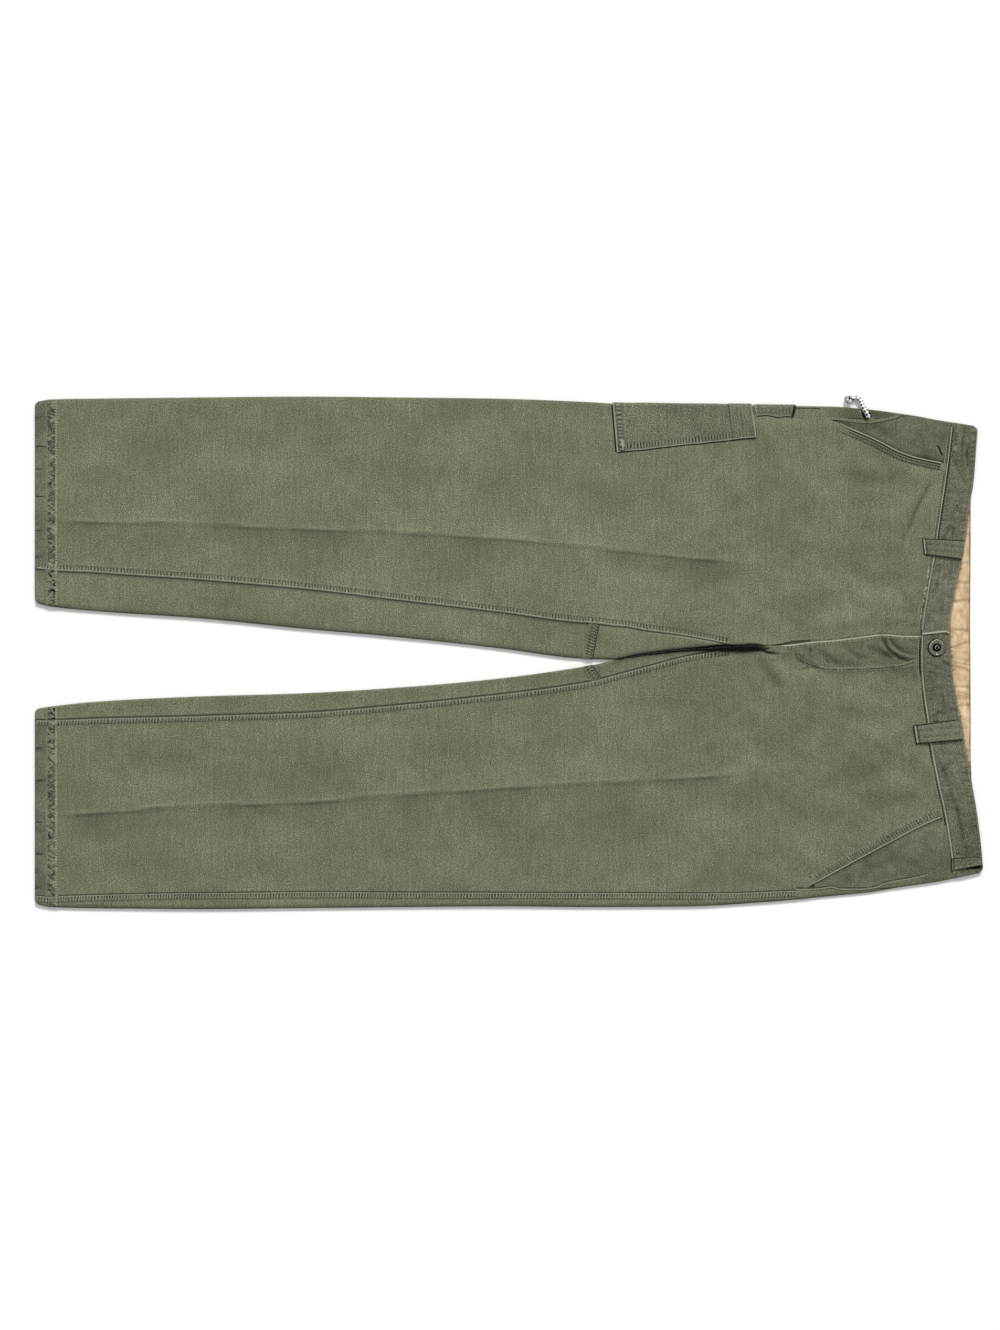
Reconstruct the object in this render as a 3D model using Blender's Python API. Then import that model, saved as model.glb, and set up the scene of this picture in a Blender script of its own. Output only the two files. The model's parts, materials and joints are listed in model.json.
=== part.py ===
# Cargo pants lying flat on their back, front side up, buttoned and with the fly closed.
#
# Sizes here are in millimetres. "along" runs from the hems towards the waist, "across" runs from the
# middle towards the wearer's right leg, and "up" is the height over the surface underneath. Every
# cloth piece is a wall: its rows go along the garment, and in a row the points go round the
# flattened tube of the leg. "out" is across for the right leg and minus across for the left one.

import bisect
import math
from collections import namedtuple

import bmesh
import bpy

MM = 0.001

# Cloth
CLOTH = 1.2            # one layer of canvas
GAP = 0.3              # between neighbouring pieces
SIDE_GAP = 0.5         # between the two sides of a side seam, which turns over the outer fold
NEAR = 0.05            # step along the cloth over which its direction is read
LIE = 4.2              # top of a front panel over the surface underneath
HEM_DEPTH = 26.0
HEM_STEP = 3.0         # length over which the folded hem thins out to one layer
HEM_CLOTH = 2.1        # folded hem
HEM_LIE = 5.0
FELL_WIDTH = 8.0       # felled inseam beside the seam line
FELL_RISE = 0.7

# Pressed creases
CREASE_RISE = 1.1
CREASE_REACH = 34.0
CREASE_STARTS = (20.0, 60.0)
CREASE_FADES = (790.0, 890.0)

# Crotch: the inner folds run down to a groove and open out into flat panels
GUSSET_START = 647.0
GUSSET_END = 816.0
GUSSET_LOW = (20.0, 1.2)         # the gusset's width on the underside, at its start and its end
GUSSET_NARROWS = 607.0
MEETING_GAP = 0.2                # from the line where the legs meet to each of them
FOLD_OPENS = (835.0, 862.0)

# Fly: the left front laps over the right one, with the placket between them
FLY_STEPS = (840.0, 866.0)
FLY_RISE = 1.3
FLY_DIP = 1.5
FLY_DIP_REACH = (4.0, 20.0)
FLY_UNDERLAP = 10.0
FLY_RAMP = 8.0
PLACKET_CLOTH = 1.0
PLACKET_START = 886.0

# Hand pockets
FACING_DIP = 1.5
FACING_SLOPE = {"right": 30.0, "left": 12.0}     # how far out from the mouth the facing dips
FACING_UNDERLAP = 12.0
SLANT_HEM = 9.0
SLANT_HEM_RISE = 0.5
GAPE_RISE = 1.1
GAPE_REACH = 26.0

# Waistband
BAND_CLOTH = 1.9
BAND_LIE = 4.9
BAND_UNDERLAP = -9.0   # across: where the right front band ends under the tab
TAB_RISE = 2.2
TAB_FLAT = -12.0
TAB_RAMP = -36.0
TAB_END = (23.1, 26.6)           # across, at the seam and at the top
TAB_CORNER = (0.86, 4.5)         # where the rounded corner starts (share), and how far it goes in
BAND_SHARES = (0.0, 0.4, TAB_CORNER[0], 0.95, 1.0)
LIP_HEIGHT = 2.5
LIP_DEPTH = 2.3
LIP_STEP = 0.1
FACING_CLOTH = 1.0
FACING_UP = 1.5
FACING_SIDE = 24.0
FACING_IN = 6.0

# Pockets and loops on the outside
PATCH_HEM_DEPTH = 24.0
PATCH_HEM_CLOTH = 1.9
PATCH_TURN = 0.5       # how far a pocket reaches down round the outer fold
LOOP_CLOTH = 1.8
BUTTON_ALONG = 1047.2
BUTTON_ACROSS = 5.2
BUTTON_SIDES = 24
CORD_DIAMETER = 5.2
CORD_STEP = 5.2        # a point about every diameter, because the bends are tight

OLIVE = (0.175, 0.178, 0.117)
OLIVE_DARK = (0.135, 0.139, 0.092)
TAN = (0.62, 0.46, 0.28)
GUNMETAL = (0.11, 0.11, 0.09)
CORD_WHITE = (0.78, 0.78, 0.76)

# One row of a leg: the outer fold and the inner fold (out), the strip of back panel or gusset that
# shows on top inside the inner fold, how far round from the middle of the outer fold the side seam
# lies (less than 0: towards the underside), and the pressed crease (out).
LegRow = namedtuple("LegRow", "along outer inner strip outseam crease")

RIGHT_LEG = (
    LegRow(0.0, 291.5, 58.0, 39.5, -7.0, 155.5),
    LegRow(20.0, 294.5, 53.5, 41.5, -7.0, 155.0),
    LegRow(75.0, 295.5, 48.2, 44.0, -7.0, 153.3),
    LegRow(192.0, 296.8, 40.1, 44.1, -7.0, 149.8),
    LegRow(308.0, 297.8, 28.4, 45.7, -7.0, 145.4),
    LegRow(424.0, 296.8, 18.0, 42.4, -7.0, 140.4),
    LegRow(540.0, 295.3, 5.2, 41.4, -7.0, 134.1),
    LegRow(640.0, 291.6, -7.0, 41.3, -7.0, 123.6),
    LegRow(676.0, 289.5, -7.9, 38.0, -7.0, 120.0),
    LegRow(709.0, 288.8, -1.5, 27.0, -7.0, 116.8),
    LegRow(757.0, 288.3, 4.3, 14.5, -6.5, 112.1),
    LegRow(785.0, 288.0, 6.0, 7.8, -5.0, 109.4),
    LegRow(813.0, 287.6, 7.4, 1.6, -1.5, 106.6),
    LegRow(877.0, 287.0, 8.9, 0.0, 12.8, 100.0),
    LegRow(923.0, 286.2, 8.9, 0.0, 14.0, 96.0),
    LegRow(969.0, 282.7, 8.9, 0.0, 12.6, 92.0),
    LegRow(1004.0, 278.1, 8.9, 0.0, 4.2, 90.0),
    LegRow(1030.0, 274.0, 8.9, 0.0, 0.6, 88.0),
    LegRow(1045.0, 271.1, 8.9, 0.0, 0.0, 86.0),
    LegRow(1074.0, 266.4, 8.9, 0.0, 0.0, 84.0),
    LegRow(1101.0, 262.0, 8.9, 0.0, 0.0, 82.0),
)

LEFT_LEG = (
    LegRow(0.0, 291.5, 65.0, 11.8, 12.2, 188.0),
    LegRow(20.0, 295.5, 62.0, 15.0, 15.2, 187.0),
    LegRow(75.0, 296.8, 56.3, 18.6, 18.2, 184.0),
    LegRow(192.0, 297.8, 50.5, 21.6, 21.4, 177.0),
    LegRow(308.0, 296.6, 47.0, 21.5, 21.2, 172.0),
    LegRow(424.0, 295.5, 40.1, 19.1, 19.8, 164.0),
    LegRow(540.0, 294.4, 29.6, 17.4, 18.4, 155.5),
    LegRow(640.0, 295.3, 15.5, 17.6, 19.0, 151.0),
    LegRow(676.0, 295.2, 8.3, 15.6, 18.8, 148.5),
    LegRow(709.0, 295.0, 1.9, 13.1, 18.4, 146.5),
    LegRow(757.0, 294.6, -3.9, 6.5, 17.8, 143.6),
    LegRow(785.0, 293.7, -5.6, 3.6, 17.0, 142.0),
    LegRow(813.0, 292.0, -7.0, 1.6, 15.6, 140.2),
    LegRow(877.0, 287.2, -8.5, 0.0, 13.3, 136.5),
    LegRow(923.0, 282.7, -8.5, 0.0, 10.5, 133.0),
    LegRow(969.0, 278.1, -8.5, 0.0, 5.4, 130.0),
    LegRow(1004.0, 272.3, -8.5, 0.0, 1.6, 128.0),
    LegRow(1030.0, 268.6, -8.5, 0.0, 0.3, 126.0),
    LegRow(1045.0, 266.4, -8.5, 0.0, 0.0, 125.0),
    LegRow(1074.0, 260.6, -8.5, 0.0, 0.0, 124.0),
    LegRow(1101.0, 254.8, -8.5, 0.0, 0.0, 123.0),
)

# The line across which the two legs meet, and the centre back seam after it
MeetRow = namedtuple("MeetRow", "along front back")
MEETING = (
    MeetRow(676.0, -8.1, -8.1),
    MeetRow(709.0, -1.7, -1.7),
    MeetRow(757.0, 4.1, 4.1),
    MeetRow(785.0, 5.8, 5.8),
    MeetRow(813.0, 7.2, 7.2),
    MeetRow(862.0, 8.6, 8.6),
    MeetRow(950.0, 8.6, 7.5),
    MeetRow(1101.0, 8.6, 5.0),
)

# The folded edge of the left front at the fly (across), the width of the placket behind it, and how
# far the right front's own edge lies past that folded edge (less than 0: under it)
FlyRow = namedtuple("FlyRow", "along edge width under")
FLY = (
    FlyRow(862.0, 8.4, 5.0, 0.4),
    FlyRow(882.0, 10.4, 11.0, -3.0),
    FlyRow(905.0, 13.4, 28.5, -9.0),
    FlyRow(926.0, 14.9, 34.5, -FLY_UNDERLAP),
    FlyRow(965.0, 19.6, 38.0, -FLY_UNDERLAP),
    FlyRow(985.0, 21.8, 37.5, -FLY_UNDERLAP),
    FlyRow(1011.0, 20.0, 34.0, -FLY_UNDERLAP),
    FlyRow(1040.0, 19.8, 28.0, -FLY_UNDERLAP),
)

# The slanting mouths of the hand pockets (out), from the side seam up to the waistband
SlantRow = namedtuple("SlantRow", "along out")
RIGHT_SLANT = (
    SlantRow(916.0, 273.7),
    SlantRow(932.0, 267.6),
    SlantRow(948.0, 260.6),
    SlantRow(979.0, 246.7),
    SlantRow(1001.0, 235.1),
    SlantRow(1018.0, 228.7),
    SlantRow(1040.0, 223.5),
    SlantRow(1075.0, 216.5),
)
LEFT_SLANT = (
    SlantRow(893.0, 274.2),
    SlantRow(923.0, 257.9),
    SlantRow(972.0, 231.6),
    SlantRow(1036.0, 198.0),
    SlantRow(1075.0, 183.0),
)

# The waistband: where its lower seam and its top edge lie along the garment, in front and behind
BandRow = namedtuple("BandRow", "across front_seam front_top back_seam back_top")
BAND = (
    BandRow(-270.0, 1068.0, 1101.6, 1068.0, 1101.0),
    BandRow(-241.0, 1064.8, 1100.0, 1064.8, 1099.2),
    BandRow(-192.0, 1057.3, 1094.6, 1057.3, 1092.8),
    BandRow(-150.0, 1048.2, 1087.6, 1052.6, 1088.0),
    BandRow(-114.0, 1041.2, 1080.6, 1051.0, 1086.7),
    BandRow(-80.0, 1036.8, 1075.0, 1050.0, 1086.7),
    BandRow(-52.0, 1032.6, 1068.8, 1049.5, 1086.6),
    BandRow(-8.0, 1028.6, 1063.0, 1049.0, 1086.4),
    BandRow(28.0, 1030.0, 1061.6, 1049.0, 1086.0),
    BandRow(68.0, 1035.6, 1067.0, 1049.0, 1086.2),
    BandRow(120.0, 1044.6, 1077.8, 1050.0, 1086.6),
    BandRow(172.0, 1051.9, 1084.6, 1053.0, 1086.8),
    BandRow(192.0, 1055.0, 1089.0, 1055.0, 1087.8),
    BandRow(234.0, 1060.7, 1092.6, 1060.7, 1091.8),
    BandRow(275.0, 1065.4, 1095.6, 1065.4, 1095.2),
)
FULL_LEVEL = 1060.0    # a panel's last row, which is drawn on to the waistband's seam
BEND_LEVEL = 985.0     # where the rows start to bend towards that seam

# A belt loop's four corners in plan: along and across, at its lower and its upper end
LoopEnds = namedtuple("LoopEnds", "low_a low_b high_a high_b")
LOOPS = {
    "belt_loop_right": LoopEnds((1029.8, 133.0), (1032.2, 114.0), (1079.2, 130.4), (1075.4, 108.2)),
    "belt_loop_left": LoopEnds((1019.4, -84.4), (1022.6, -106.0), (1072.6, -77.0), (1077.2, -101.0)),
    "belt_loop_side": LoopEnds((1063.6, -238.0), (1063.2, -254.0), (1097.4, -236.0), (1098.0, -250.8)),
}
LoopStep = namedtuple("LoopStep", "share up")
LOOP_ARCH = (
    LoopStep(0.0, 4.5),
    LoopStep(0.08, 4.6),
    LoopStep(0.2, 5.4),
    LoopStep(0.34, 6.1),
    LoopStep(0.6, 6.3),
    LoopStep(0.84, 5.9),
    LoopStep(1.0, 5.3),
)
SIDE_ARCH = (
    LoopStep(0.0, 5.3),
    LoopStep(0.12, 5.4),
    LoopStep(0.5, 6.4),
    LoopStep(0.88, 6.0),
    LoopStep(1.0, 5.3),
)

# Cargo pocket and the tool pocket behind its mouth: inner long edge (out) at each end
PatchEnd = namedtuple("PatchEnd", "along_inner along_outer inner")
CARGO_LOW = PatchEnd(675.7, 670.8, 232.8)
CARGO_HIGH = PatchEnd(837.6, 832.4, 250.4)
TOOL_LOW = PatchEnd(838.0, 834.4, 274.6)
TOOL_HIGH = PatchEnd(879.6, 883.4, 274.6)

# The button: radius and height round its turned outline, from the back's middle to the front's
ButtonRing = namedtuple("ButtonRing", "radius up")
BUTTON = (
    ButtonRing(0.0, 0.0),
    ButtonRing(8.8, 0.0),
    ButtonRing(9.8, 0.9),
    ButtonRing(9.6, 2.0),
    ButtonRing(8.4, 2.9),
    ButtonRing(6.6, 2.8),
    ButtonRing(5.2, 1.7),
    ButtonRing(3.4, 1.4),
    ButtonRing(2.2, 2.0),
    ButtonRing(0.0, 2.2),
)

# The pull cord's route, chosen by hand: along, across, up
CORD_ROUTE = (
    (969.6, 266.0, 7.2),
    (968.2, 270.0, 7.3),
    (966.6, 274.4, 7.5),
    (965.0, 278.8, 7.5),
    (963.4, 283.2, 6.9),
    (962.0, 287.0, 5.4),
    (960.2, 290.4, 3.9),
    (957.6, 293.4, 3.1),
    (954.2, 295.2, 2.9),
    (950.4, 295.4, 2.9),
)
KNOT_AT = (945.2, 294.6, 4.0)
KNOT_RADII = (4.8, 4.7, 3.9)
KNOT_ROUND = (16, 10)


def read(rows, column, at):
    """One column of a table at any place, on a smooth curve that never overshoots its rows."""
    places = [row[0] for row in rows]
    values = [getattr(row, column) for row in rows]
    at = min(max(at, places[0]), places[-1])
    i = min(bisect.bisect_right(places, at) - 1, len(rows) - 2)

    def steep(k):
        if k <= 0 or k >= len(rows) - 1:
            return 0.0 if len(rows) > 2 else (values[-1] - values[0]) / (places[-1] - places[0])
        before = (values[k] - values[k - 1]) / (places[k] - places[k - 1])
        after = (values[k + 1] - values[k]) / (places[k + 1] - places[k])
        return 0.0 if before * after <= 0 else 2 * before * after / (before + after)

    span = places[i + 1] - places[i]
    t = (at - places[i]) / span
    first = steep(i) if i > 0 else (values[1] - values[0]) / (places[1] - places[0])
    last_pair = (values[-1] - values[-2]) / (places[-1] - places[-2])
    last = steep(i + 1) if i + 1 < len(rows) - 1 else last_pair
    rise = values[i + 1] - values[i]
    return (
        values[i]
        + first * span * t * (1 - t) ** 2
        + rise * t * t * (3 - 2 * t)
        - last * span * t * t * (1 - t)
    )


def ease(low, high, at):
    """0 before low, 1 after high, and a smooth step between them."""
    t = min(max((at - low) / (high - low), 0.0), 1.0)
    return t * t * (3 - 2 * t)


Leg = namedtuple("Leg", "side rows slant")
RIGHT = Leg(1, RIGHT_LEG, RIGHT_SLANT)
LEFT = Leg(-1, LEFT_LEG, LEFT_SLANT)

# One cross-section of a flattened leg. roll is 1 where the inner edge is a closed fold, and 0 where
# the panels end there flat.
Section = namedtuple("Section", "outer inner_top inner_low height roll")


def fly_edge(along):
    return read(FLY, "edge", along)


def inner_edges(leg, along):
    """The inner limits (out) of the top and of the underside at one place along the leg."""
    if along < MEETING[0].along:
        fold = read(leg.rows, "inner", along)
        return fold, fold
    front = leg.side * read(MEETING, "front", along) + MEETING_GAP
    back = leg.side * read(MEETING, "back", along) + MEETING_GAP
    if along > FLY[0].along and leg.side < 0:
        front = -fly_edge(along)
    if along > FLY[0].along and leg.side > 0:
        front = fly_edge(along) + read(FLY, "under", along)
    return front, back


def section(leg, along):
    top, low = inner_edges(leg, along)
    hem = 1 - ease(HEM_DEPTH, HEM_DEPTH + HEM_STEP, along)
    height = LIE + hem * (HEM_LIE - LIE)
    return Section(read(leg.rows, "outer", along), top, low, height, 1 - ease(*FOLD_OPENS, along))


def quarter(sec):
    return math.pi * sec.height / 4


def top_run(sec):
    """Length of cloth from the middle of the outer fold, over the top, to the inner edge."""
    return 2 * quarter(sec) + sec.outer - sec.inner_top - sec.height


def low_run(sec):
    return 2 * quarter(sec) + sec.outer - sec.inner_low - sec.height


def run_from_fold(sec, distance):
    """Cloth length from the middle of a fold to a point that lies distance in from it."""
    radius = sec.height / 2
    if distance < 0:
        return -run_from_fold(sec, -distance)
    if distance > radius:
        return quarter(sec) + distance - radius
    return radius * math.acos(1 - distance / radius)


def loop_point(sec, run):
    """A point (out, up) of the leg's outside, run millimetres round from the outer fold's middle."""
    top, low = top_run(sec), low_run(sec)
    run = run + top + low if run < 0 else run
    run = run - top - low if run > top + low else run
    upper = run <= top
    from_outer = run if upper else top + low - run
    from_inner = top - run if upper else run - top
    inner = sec.inner_top if upper else sec.inner_low
    radius = sec.height / 2
    if from_outer < quarter(sec):
        angle = from_outer / radius
        out = sec.outer - radius * (1 - math.cos(angle))
        share = math.sin(angle)
    elif from_inner < quarter(sec):
        angle = from_inner / radius
        out = inner + radius * (1 - math.cos(angle))
        share = 1 - sec.roll * (1 - math.sin(angle))
    else:
        out = sec.outer - radius - (from_outer - quarter(sec))
        share = 1.0
    return out, radius + (radius if upper else -radius) * share, share if upper else 0.0


def loop_normal(sec, run, slope):
    """The direction (out, up) that faces away from the cloth at a point of the leg's outside."""
    top = top_run(sec)
    before, after = run - NEAR, run + NEAR
    if run <= top:
        after = min(after, top)
    elif run > top:
        before = max(before, top + NEAR / 10)
    (out_a, up_a, _), (out_b, up_b, share) = loop_point(sec, before), loop_point(sec, after)
    turn_out = out_b - out_a
    turn_up = up_b - up_a + slope * turn_out * share
    size = math.hypot(turn_out, turn_up)
    return turn_up / size, -turn_out / size


def divide(knots, cells):
    """Points between the knots: cells[k] equal steps from knot k to knot k + 1."""
    runs = [knots[0]]
    for k, count in enumerate(cells):
        runs += [knots[k] + (knots[k + 1] - knots[k]) * (n + 1) / count for n in range(count)]
    return runs


def round_wall(leg, levels, along_of, knots_of, cells, cloth_of, section_of=section, lift=None, swell=None):
    """Outer and inner points of a wall round the leg, row by row. lift bends the wall up and swell
    thickens it outwards."""
    outer, inner = [], []
    for level in levels:
        outer_row, inner_row = [], []
        for j in range(sum(cells) + 1):
            along = along_of(level, 0.0)
            for _ in range(3):
                sec = section_of(leg, along)
                run = divide(knots_of(sec, along), cells)[j]
                out, up, share = loop_point(sec, run)
                along = along_of(level, leg.side * out)
            slope = 0.0
            if lift:
                up += share * lift(along, out)
                slope = (lift(along, out + NEAR) - lift(along, out - NEAR)) / (2 * NEAR)
            normal = loop_normal(sec, run, slope)
            cloth = cloth_of(along, out)
            grow = swell(along, out) * share if swell else 0.0
            outer_row.append((along, leg.side * (out + normal[0] * grow), up + normal[1] * grow))
            inner_row.append((along, leg.side * (out - normal[0] * cloth), up - normal[1] * cloth))
        outer.append(outer_row)
        inner.append(inner_row)
    return outer, inner


def paint(thing, name, color, rough, metal=0.0):
    material = bpy.data.materials.new(name)
    material.use_nodes = True
    shader = material.node_tree.nodes["Principled BSDF"]
    shader.inputs["Base Color"].default_value = (*color, 1.0)
    shader.inputs["Roughness"].default_value = rough
    shader.inputs["Metallic"].default_value = metal
    thing.data.materials.append(material)


def keep_mesh(mesh, name, garment):
    bmesh.ops.recalc_face_normals(mesh, faces=mesh.faces)
    data = bpy.data.meshes.new(name)
    mesh.to_mesh(data)
    mesh.free()
    data.shade_smooth()
    data.set_sharp_from_angle(angle=math.radians(35))
    thing = bpy.data.objects.new(name, data)
    bpy.context.scene.collection.objects.link(thing)
    thing.parent = garment
    return thing


def sew_wall(name, garment, outer, inner, keep=None, color=OLIVE, rough=0.9):
    """A closed wall between two grids of points. keep says which cells of the grid are cloth."""
    mesh = bmesh.new()
    rows, columns = len(outer) - 1, len(outer[0]) - 1
    cells = {(i, j) for i in range(rows) for j in range(columns) if keep is None or keep(i, j)}
    made = {}

    def corner(side, i, j):
        if (side, i, j) not in made:
            along, across, up = (outer, inner)[side][i][j]
            made[side, i, j] = mesh.verts.new((along * MM, across * MM, up * MM))
        return made[side, i, j]

    for i, j in sorted(cells):
        ring = ((i, j), (i + 1, j), (i + 1, j + 1), (i, j + 1))
        beside = ((i, j - 1), (i + 1, j), (i, j + 1), (i - 1, j))
        mesh.faces.new([corner(0, *place) for place in ring])
        mesh.faces.new([corner(1, *place) for place in reversed(ring)])
        for k in range(4):
            if beside[k] not in cells:
                a, b = ring[k], ring[(k + 1) % 4]
                mesh.faces.new([corner(0, *b), corner(0, *a), corner(1, *a), corner(1, *b)])
    thing = keep_mesh(mesh, name, garment)
    paint(thing, name, color, rough)
    return thing


def plain_cloth(along, out):
    hem = 1 - ease(HEM_DEPTH, HEM_DEPTH + HEM_STEP, along)
    return CLOTH + hem * (HEM_CLOTH - CLOTH)


def to_front_seam(level, across):
    """The place along the leg of a front panel's row, which bends to follow the waistband."""
    seam = read(BAND, "front_seam", across) - GAP / 2
    share = max(0.0, (level - BEND_LEVEL) / (FULL_LEVEL - BEND_LEVEL))
    return min(level, BEND_LEVEL) + share * (seam - BEND_LEVEL)


def to_back_seam(level, across):
    seam = read(BAND, "back_seam", across) - GAP / 2
    share = max(0.0, (level - BEND_LEVEL) / (FULL_LEVEL - BEND_LEVEL))
    return min(level, BEND_LEVEL) + share * (seam - BEND_LEVEL)


def outseam_run(leg, along):
    return read(leg.rows, "outseam", along)


def inseam_run(leg, sec, along):
    """Where the front panel ends: at the inseam, in the crotch's groove, or at the fly."""
    strip = read(leg.rows, "strip", along) if along <= GUSSET_END else 0.0
    return top_run(sec) - run_from_fold(sec, strip)


def low_strip(along):
    """Width of the gusset on the underside."""
    narrowed = ease(GUSSET_NARROWS, GUSSET_END, along)
    return GUSSET_LOW[0] + (GUSSET_LOW[1] - GUSSET_LOW[0]) * narrowed


def slant_out(leg, along):
    return read(leg.slant, "out", along)


def front_edge_run(leg, sec, along):
    """Where the front panel starts: at the side seam, and past the pocket's foot at its mouth."""
    run = outseam_run(leg, along)
    if along > leg.slant[0].along:
        run = max(run, run_from_fold(sec, sec.outer - slant_out(leg, along)))
    return run


def crease_lift(leg, along, out):
    reach = abs(out - read(leg.rows, "crease", along)) / CREASE_REACH
    fade = ease(*CREASE_STARTS, along) * (1 - ease(*CREASE_FADES, along))
    return CREASE_RISE * fade * max(0.0, 1 - reach) ** 1.6


def fly_share(along):
    return ease(*FLY_STEPS, along)


def right_front_lift(along, out):
    past = out - fly_edge(along)
    dip = FLY_DIP * fly_share(along) * (1 - ease(*FLY_DIP_REACH, past))
    lift = crease_lift(RIGHT, along, out) - dip
    if along > RIGHT_SLANT[0].along:
        inside = slant_out(RIGHT, along) - out
        middle = math.sin(math.pi * ease(RIGHT_SLANT[0].along + 10, 1062.0, along))
        lift += GAPE_RISE * middle * (1 - ease(0.0, GAPE_REACH, inside))
    return lift


def left_front_lift(along, out):
    inside = out + fly_edge(along)
    width = read(FLY, "width", along)
    raised = FLY_RISE * fly_share(along) * (1 - ease(width, width + FLY_RAMP, inside))
    return crease_lift(LEFT, along, out) + raised


def fell_swell(leg, along, out):
    """The felled inseam on the front panel, and the turned hem of a pocket's mouth."""
    grow = 0.0
    if along < GUSSET_END:
        inside = out - read(leg.rows, "inner", along) - read(leg.rows, "strip", along)
        fade = 1 - ease(GUSSET_START, GUSSET_END, along)
        grow = FELL_RISE * fade * (1 - ease(FELL_WIDTH - 1, FELL_WIDTH + 1, inside))
    if along > leg.slant[0].along:
        inside = slant_out(leg, along) - out
        start = ease(leg.slant[0].along, leg.slant[0].along + 20, along)
        grow = max(grow, SLANT_HEM_RISE * start * (1 - ease(SLANT_HEM - 1, SLANT_HEM + 1, inside)))
    return grow


# Rows of the leg panels. A seam's two sides share them, so that the gap between them stays even.
LEVELS = (
    0.0, 24.0, 30.0, 90.0, 170.0, 250.0, 330.0, 410.0, 490.0, 560.0, 610.0, GUSSET_START - GAP, 676.0,
    705.0, 735.0, 762.0, 788.0, 803.0, GUSSET_END, 822.0, 838.0, 852.0, 866.0, 882.0, 900.0, 918.0,
    934.0, 952.0, 972.0, 988.0, 1002.0, 1016.0, 1036.0, FULL_LEVEL,
)


def levels_between(first, last):
    return (first, *[level for level in LEVELS if first < level < last], last)


def front_knots(leg):
    def knots(sec, along):
        start = front_edge_run(leg, sec, along) + SIDE_GAP / 2
        end = inseam_run(leg, sec, along) - GAP / 2
        crease = run_from_fold(sec, sec.outer - read(leg.rows, "crease", along))
        near = max(start, quarter(sec)) + SLANT_HEM + 2
        ramp = FELL_WIDTH + 4
        ramp_end = ramp + FLY_RAMP
        if leg.side > 0 and along > FLY_STEPS[0]:
            ramp = FLY_UNDERLAP + FLY_DIP_REACH[0]
            ramp_end = FLY_UNDERLAP + FLY_DIP_REACH[1]
        if leg.side < 0 and along > FLY_STEPS[0]:
            ramp = max(read(FLY, "width", along), ramp)
            ramp_end = ramp + FLY_RAMP
        return (
            start,
            near,
            crease - CREASE_REACH,
            crease,
            min(crease + CREASE_REACH, end - ramp_end - 4.0),
            end - ramp_end,
            end - ramp,
            end - FELL_WIDTH - 1,
            end - FELL_WIDTH + 1,
            end,
        )

    return knots


def make_front(name, garment, leg, lift):
    outer, inner = round_wall(
        leg,
        LEVELS,
        to_front_seam,
        front_knots(leg),
        (7, 4, 2, 2, 2, 1, 1, 1, 3),
        plain_cloth,
        lift=lift,
        swell=lambda along, out: fell_swell(leg, along, out),
    )
    return sew_wall(name, garment, outer, inner)


def make_back(name, garment, leg):
    """The back panel: from the inseam on top, round the inner fold, along the underside and round
    the outer fold to the side seam. The gusset's place on the inner fold is left out of it."""
    cells = (2, 5, 1, 2, 6, 6)

    def knots(sec, along):
        top, low = top_run(sec), low_run(sec)
        wide = top + GAP / 2
        if along <= GUSSET_END:
            wide += run_from_fold(sec, low_strip(along))
        strip = (wide - 3.0, wide - 2.0, wide - 1.0)
        if along < GUSSET_START:
            strip = (
                inseam_run(leg, sec, along) + GAP / 2,
                top - quarter(sec) - 0.5,
                top + quarter(sec) + 0.5,
            )
        past_fold = max(top + quarter(sec) + 0.5, wide + 1.0)
        last = top + low + outseam_run(leg, along) - SIDE_GAP / 2
        near = min(top + low - quarter(sec) - 4.0, last - 6.0)
        return (*strip, wide, past_fold, near, last)

    outer, inner = round_wall(leg, LEVELS, to_back_seam, knots, cells, plain_cloth)
    first = LEVELS.index(GUSSET_START - GAP)

    def keep(i, j):
        return i < first or j >= sum(cells[:3])

    return sew_wall(name, garment, outer, inner, keep)


def make_gusset(name, garment, leg):
    def knots(sec, along):
        top = top_run(sec)
        return (
            inseam_run(leg, sec, along) + GAP / 2,
            top - min(quarter(sec) + 0.5, run_from_fold(sec, read(leg.rows, "strip", along)) * 0.8),
            top + min(quarter(sec) + 0.5, run_from_fold(sec, low_strip(along)) * 0.8),
            top + run_from_fold(sec, low_strip(along)) - GAP / 2,
        )

    levels = levels_between(GUSSET_START, GUSSET_END - GAP)
    outer, inner = round_wall(leg, levels, to_front_seam, knots, (2, 5, 1), plain_cloth)
    return sew_wall(name, garment, outer, inner)


def flat_wall(levels, along_of, edge_a, edge_b, steps, low_of, cloth_of):
    """A wall between two edges across the garment. Its lower side is low_of(along, across)."""
    outer, inner = [], []
    for level in levels:
        outer_row, inner_row = [], []
        for n in range(steps + 1):
            along = along_of(level, 0.0)
            for _ in range(3):
                across = edge_a(along) + (edge_b(along) - edge_a(along)) * n / steps
                along = along_of(level, across)
            low = low_of(along, across)
            inner_row.append((along, across, low))
            outer_row.append((along, across, low + cloth_of(along, across)))
        outer.append(outer_row)
        inner.append(inner_row)
    return outer, inner


def make_placket(garment):
    outer, inner = flat_wall(
        levels_between(PLACKET_START, FULL_LEVEL),
        to_front_seam,
        lambda along: fly_edge(along) - 1.5,
        lambda along: fly_edge(along) - read(FLY, "width", along) + 1.0,
        4,
        lambda along, across: LIE - CLOTH,
        lambda along, across: PLACKET_CLOTH,
    )
    sew_wall("fly_placket", garment, outer, inner)


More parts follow.
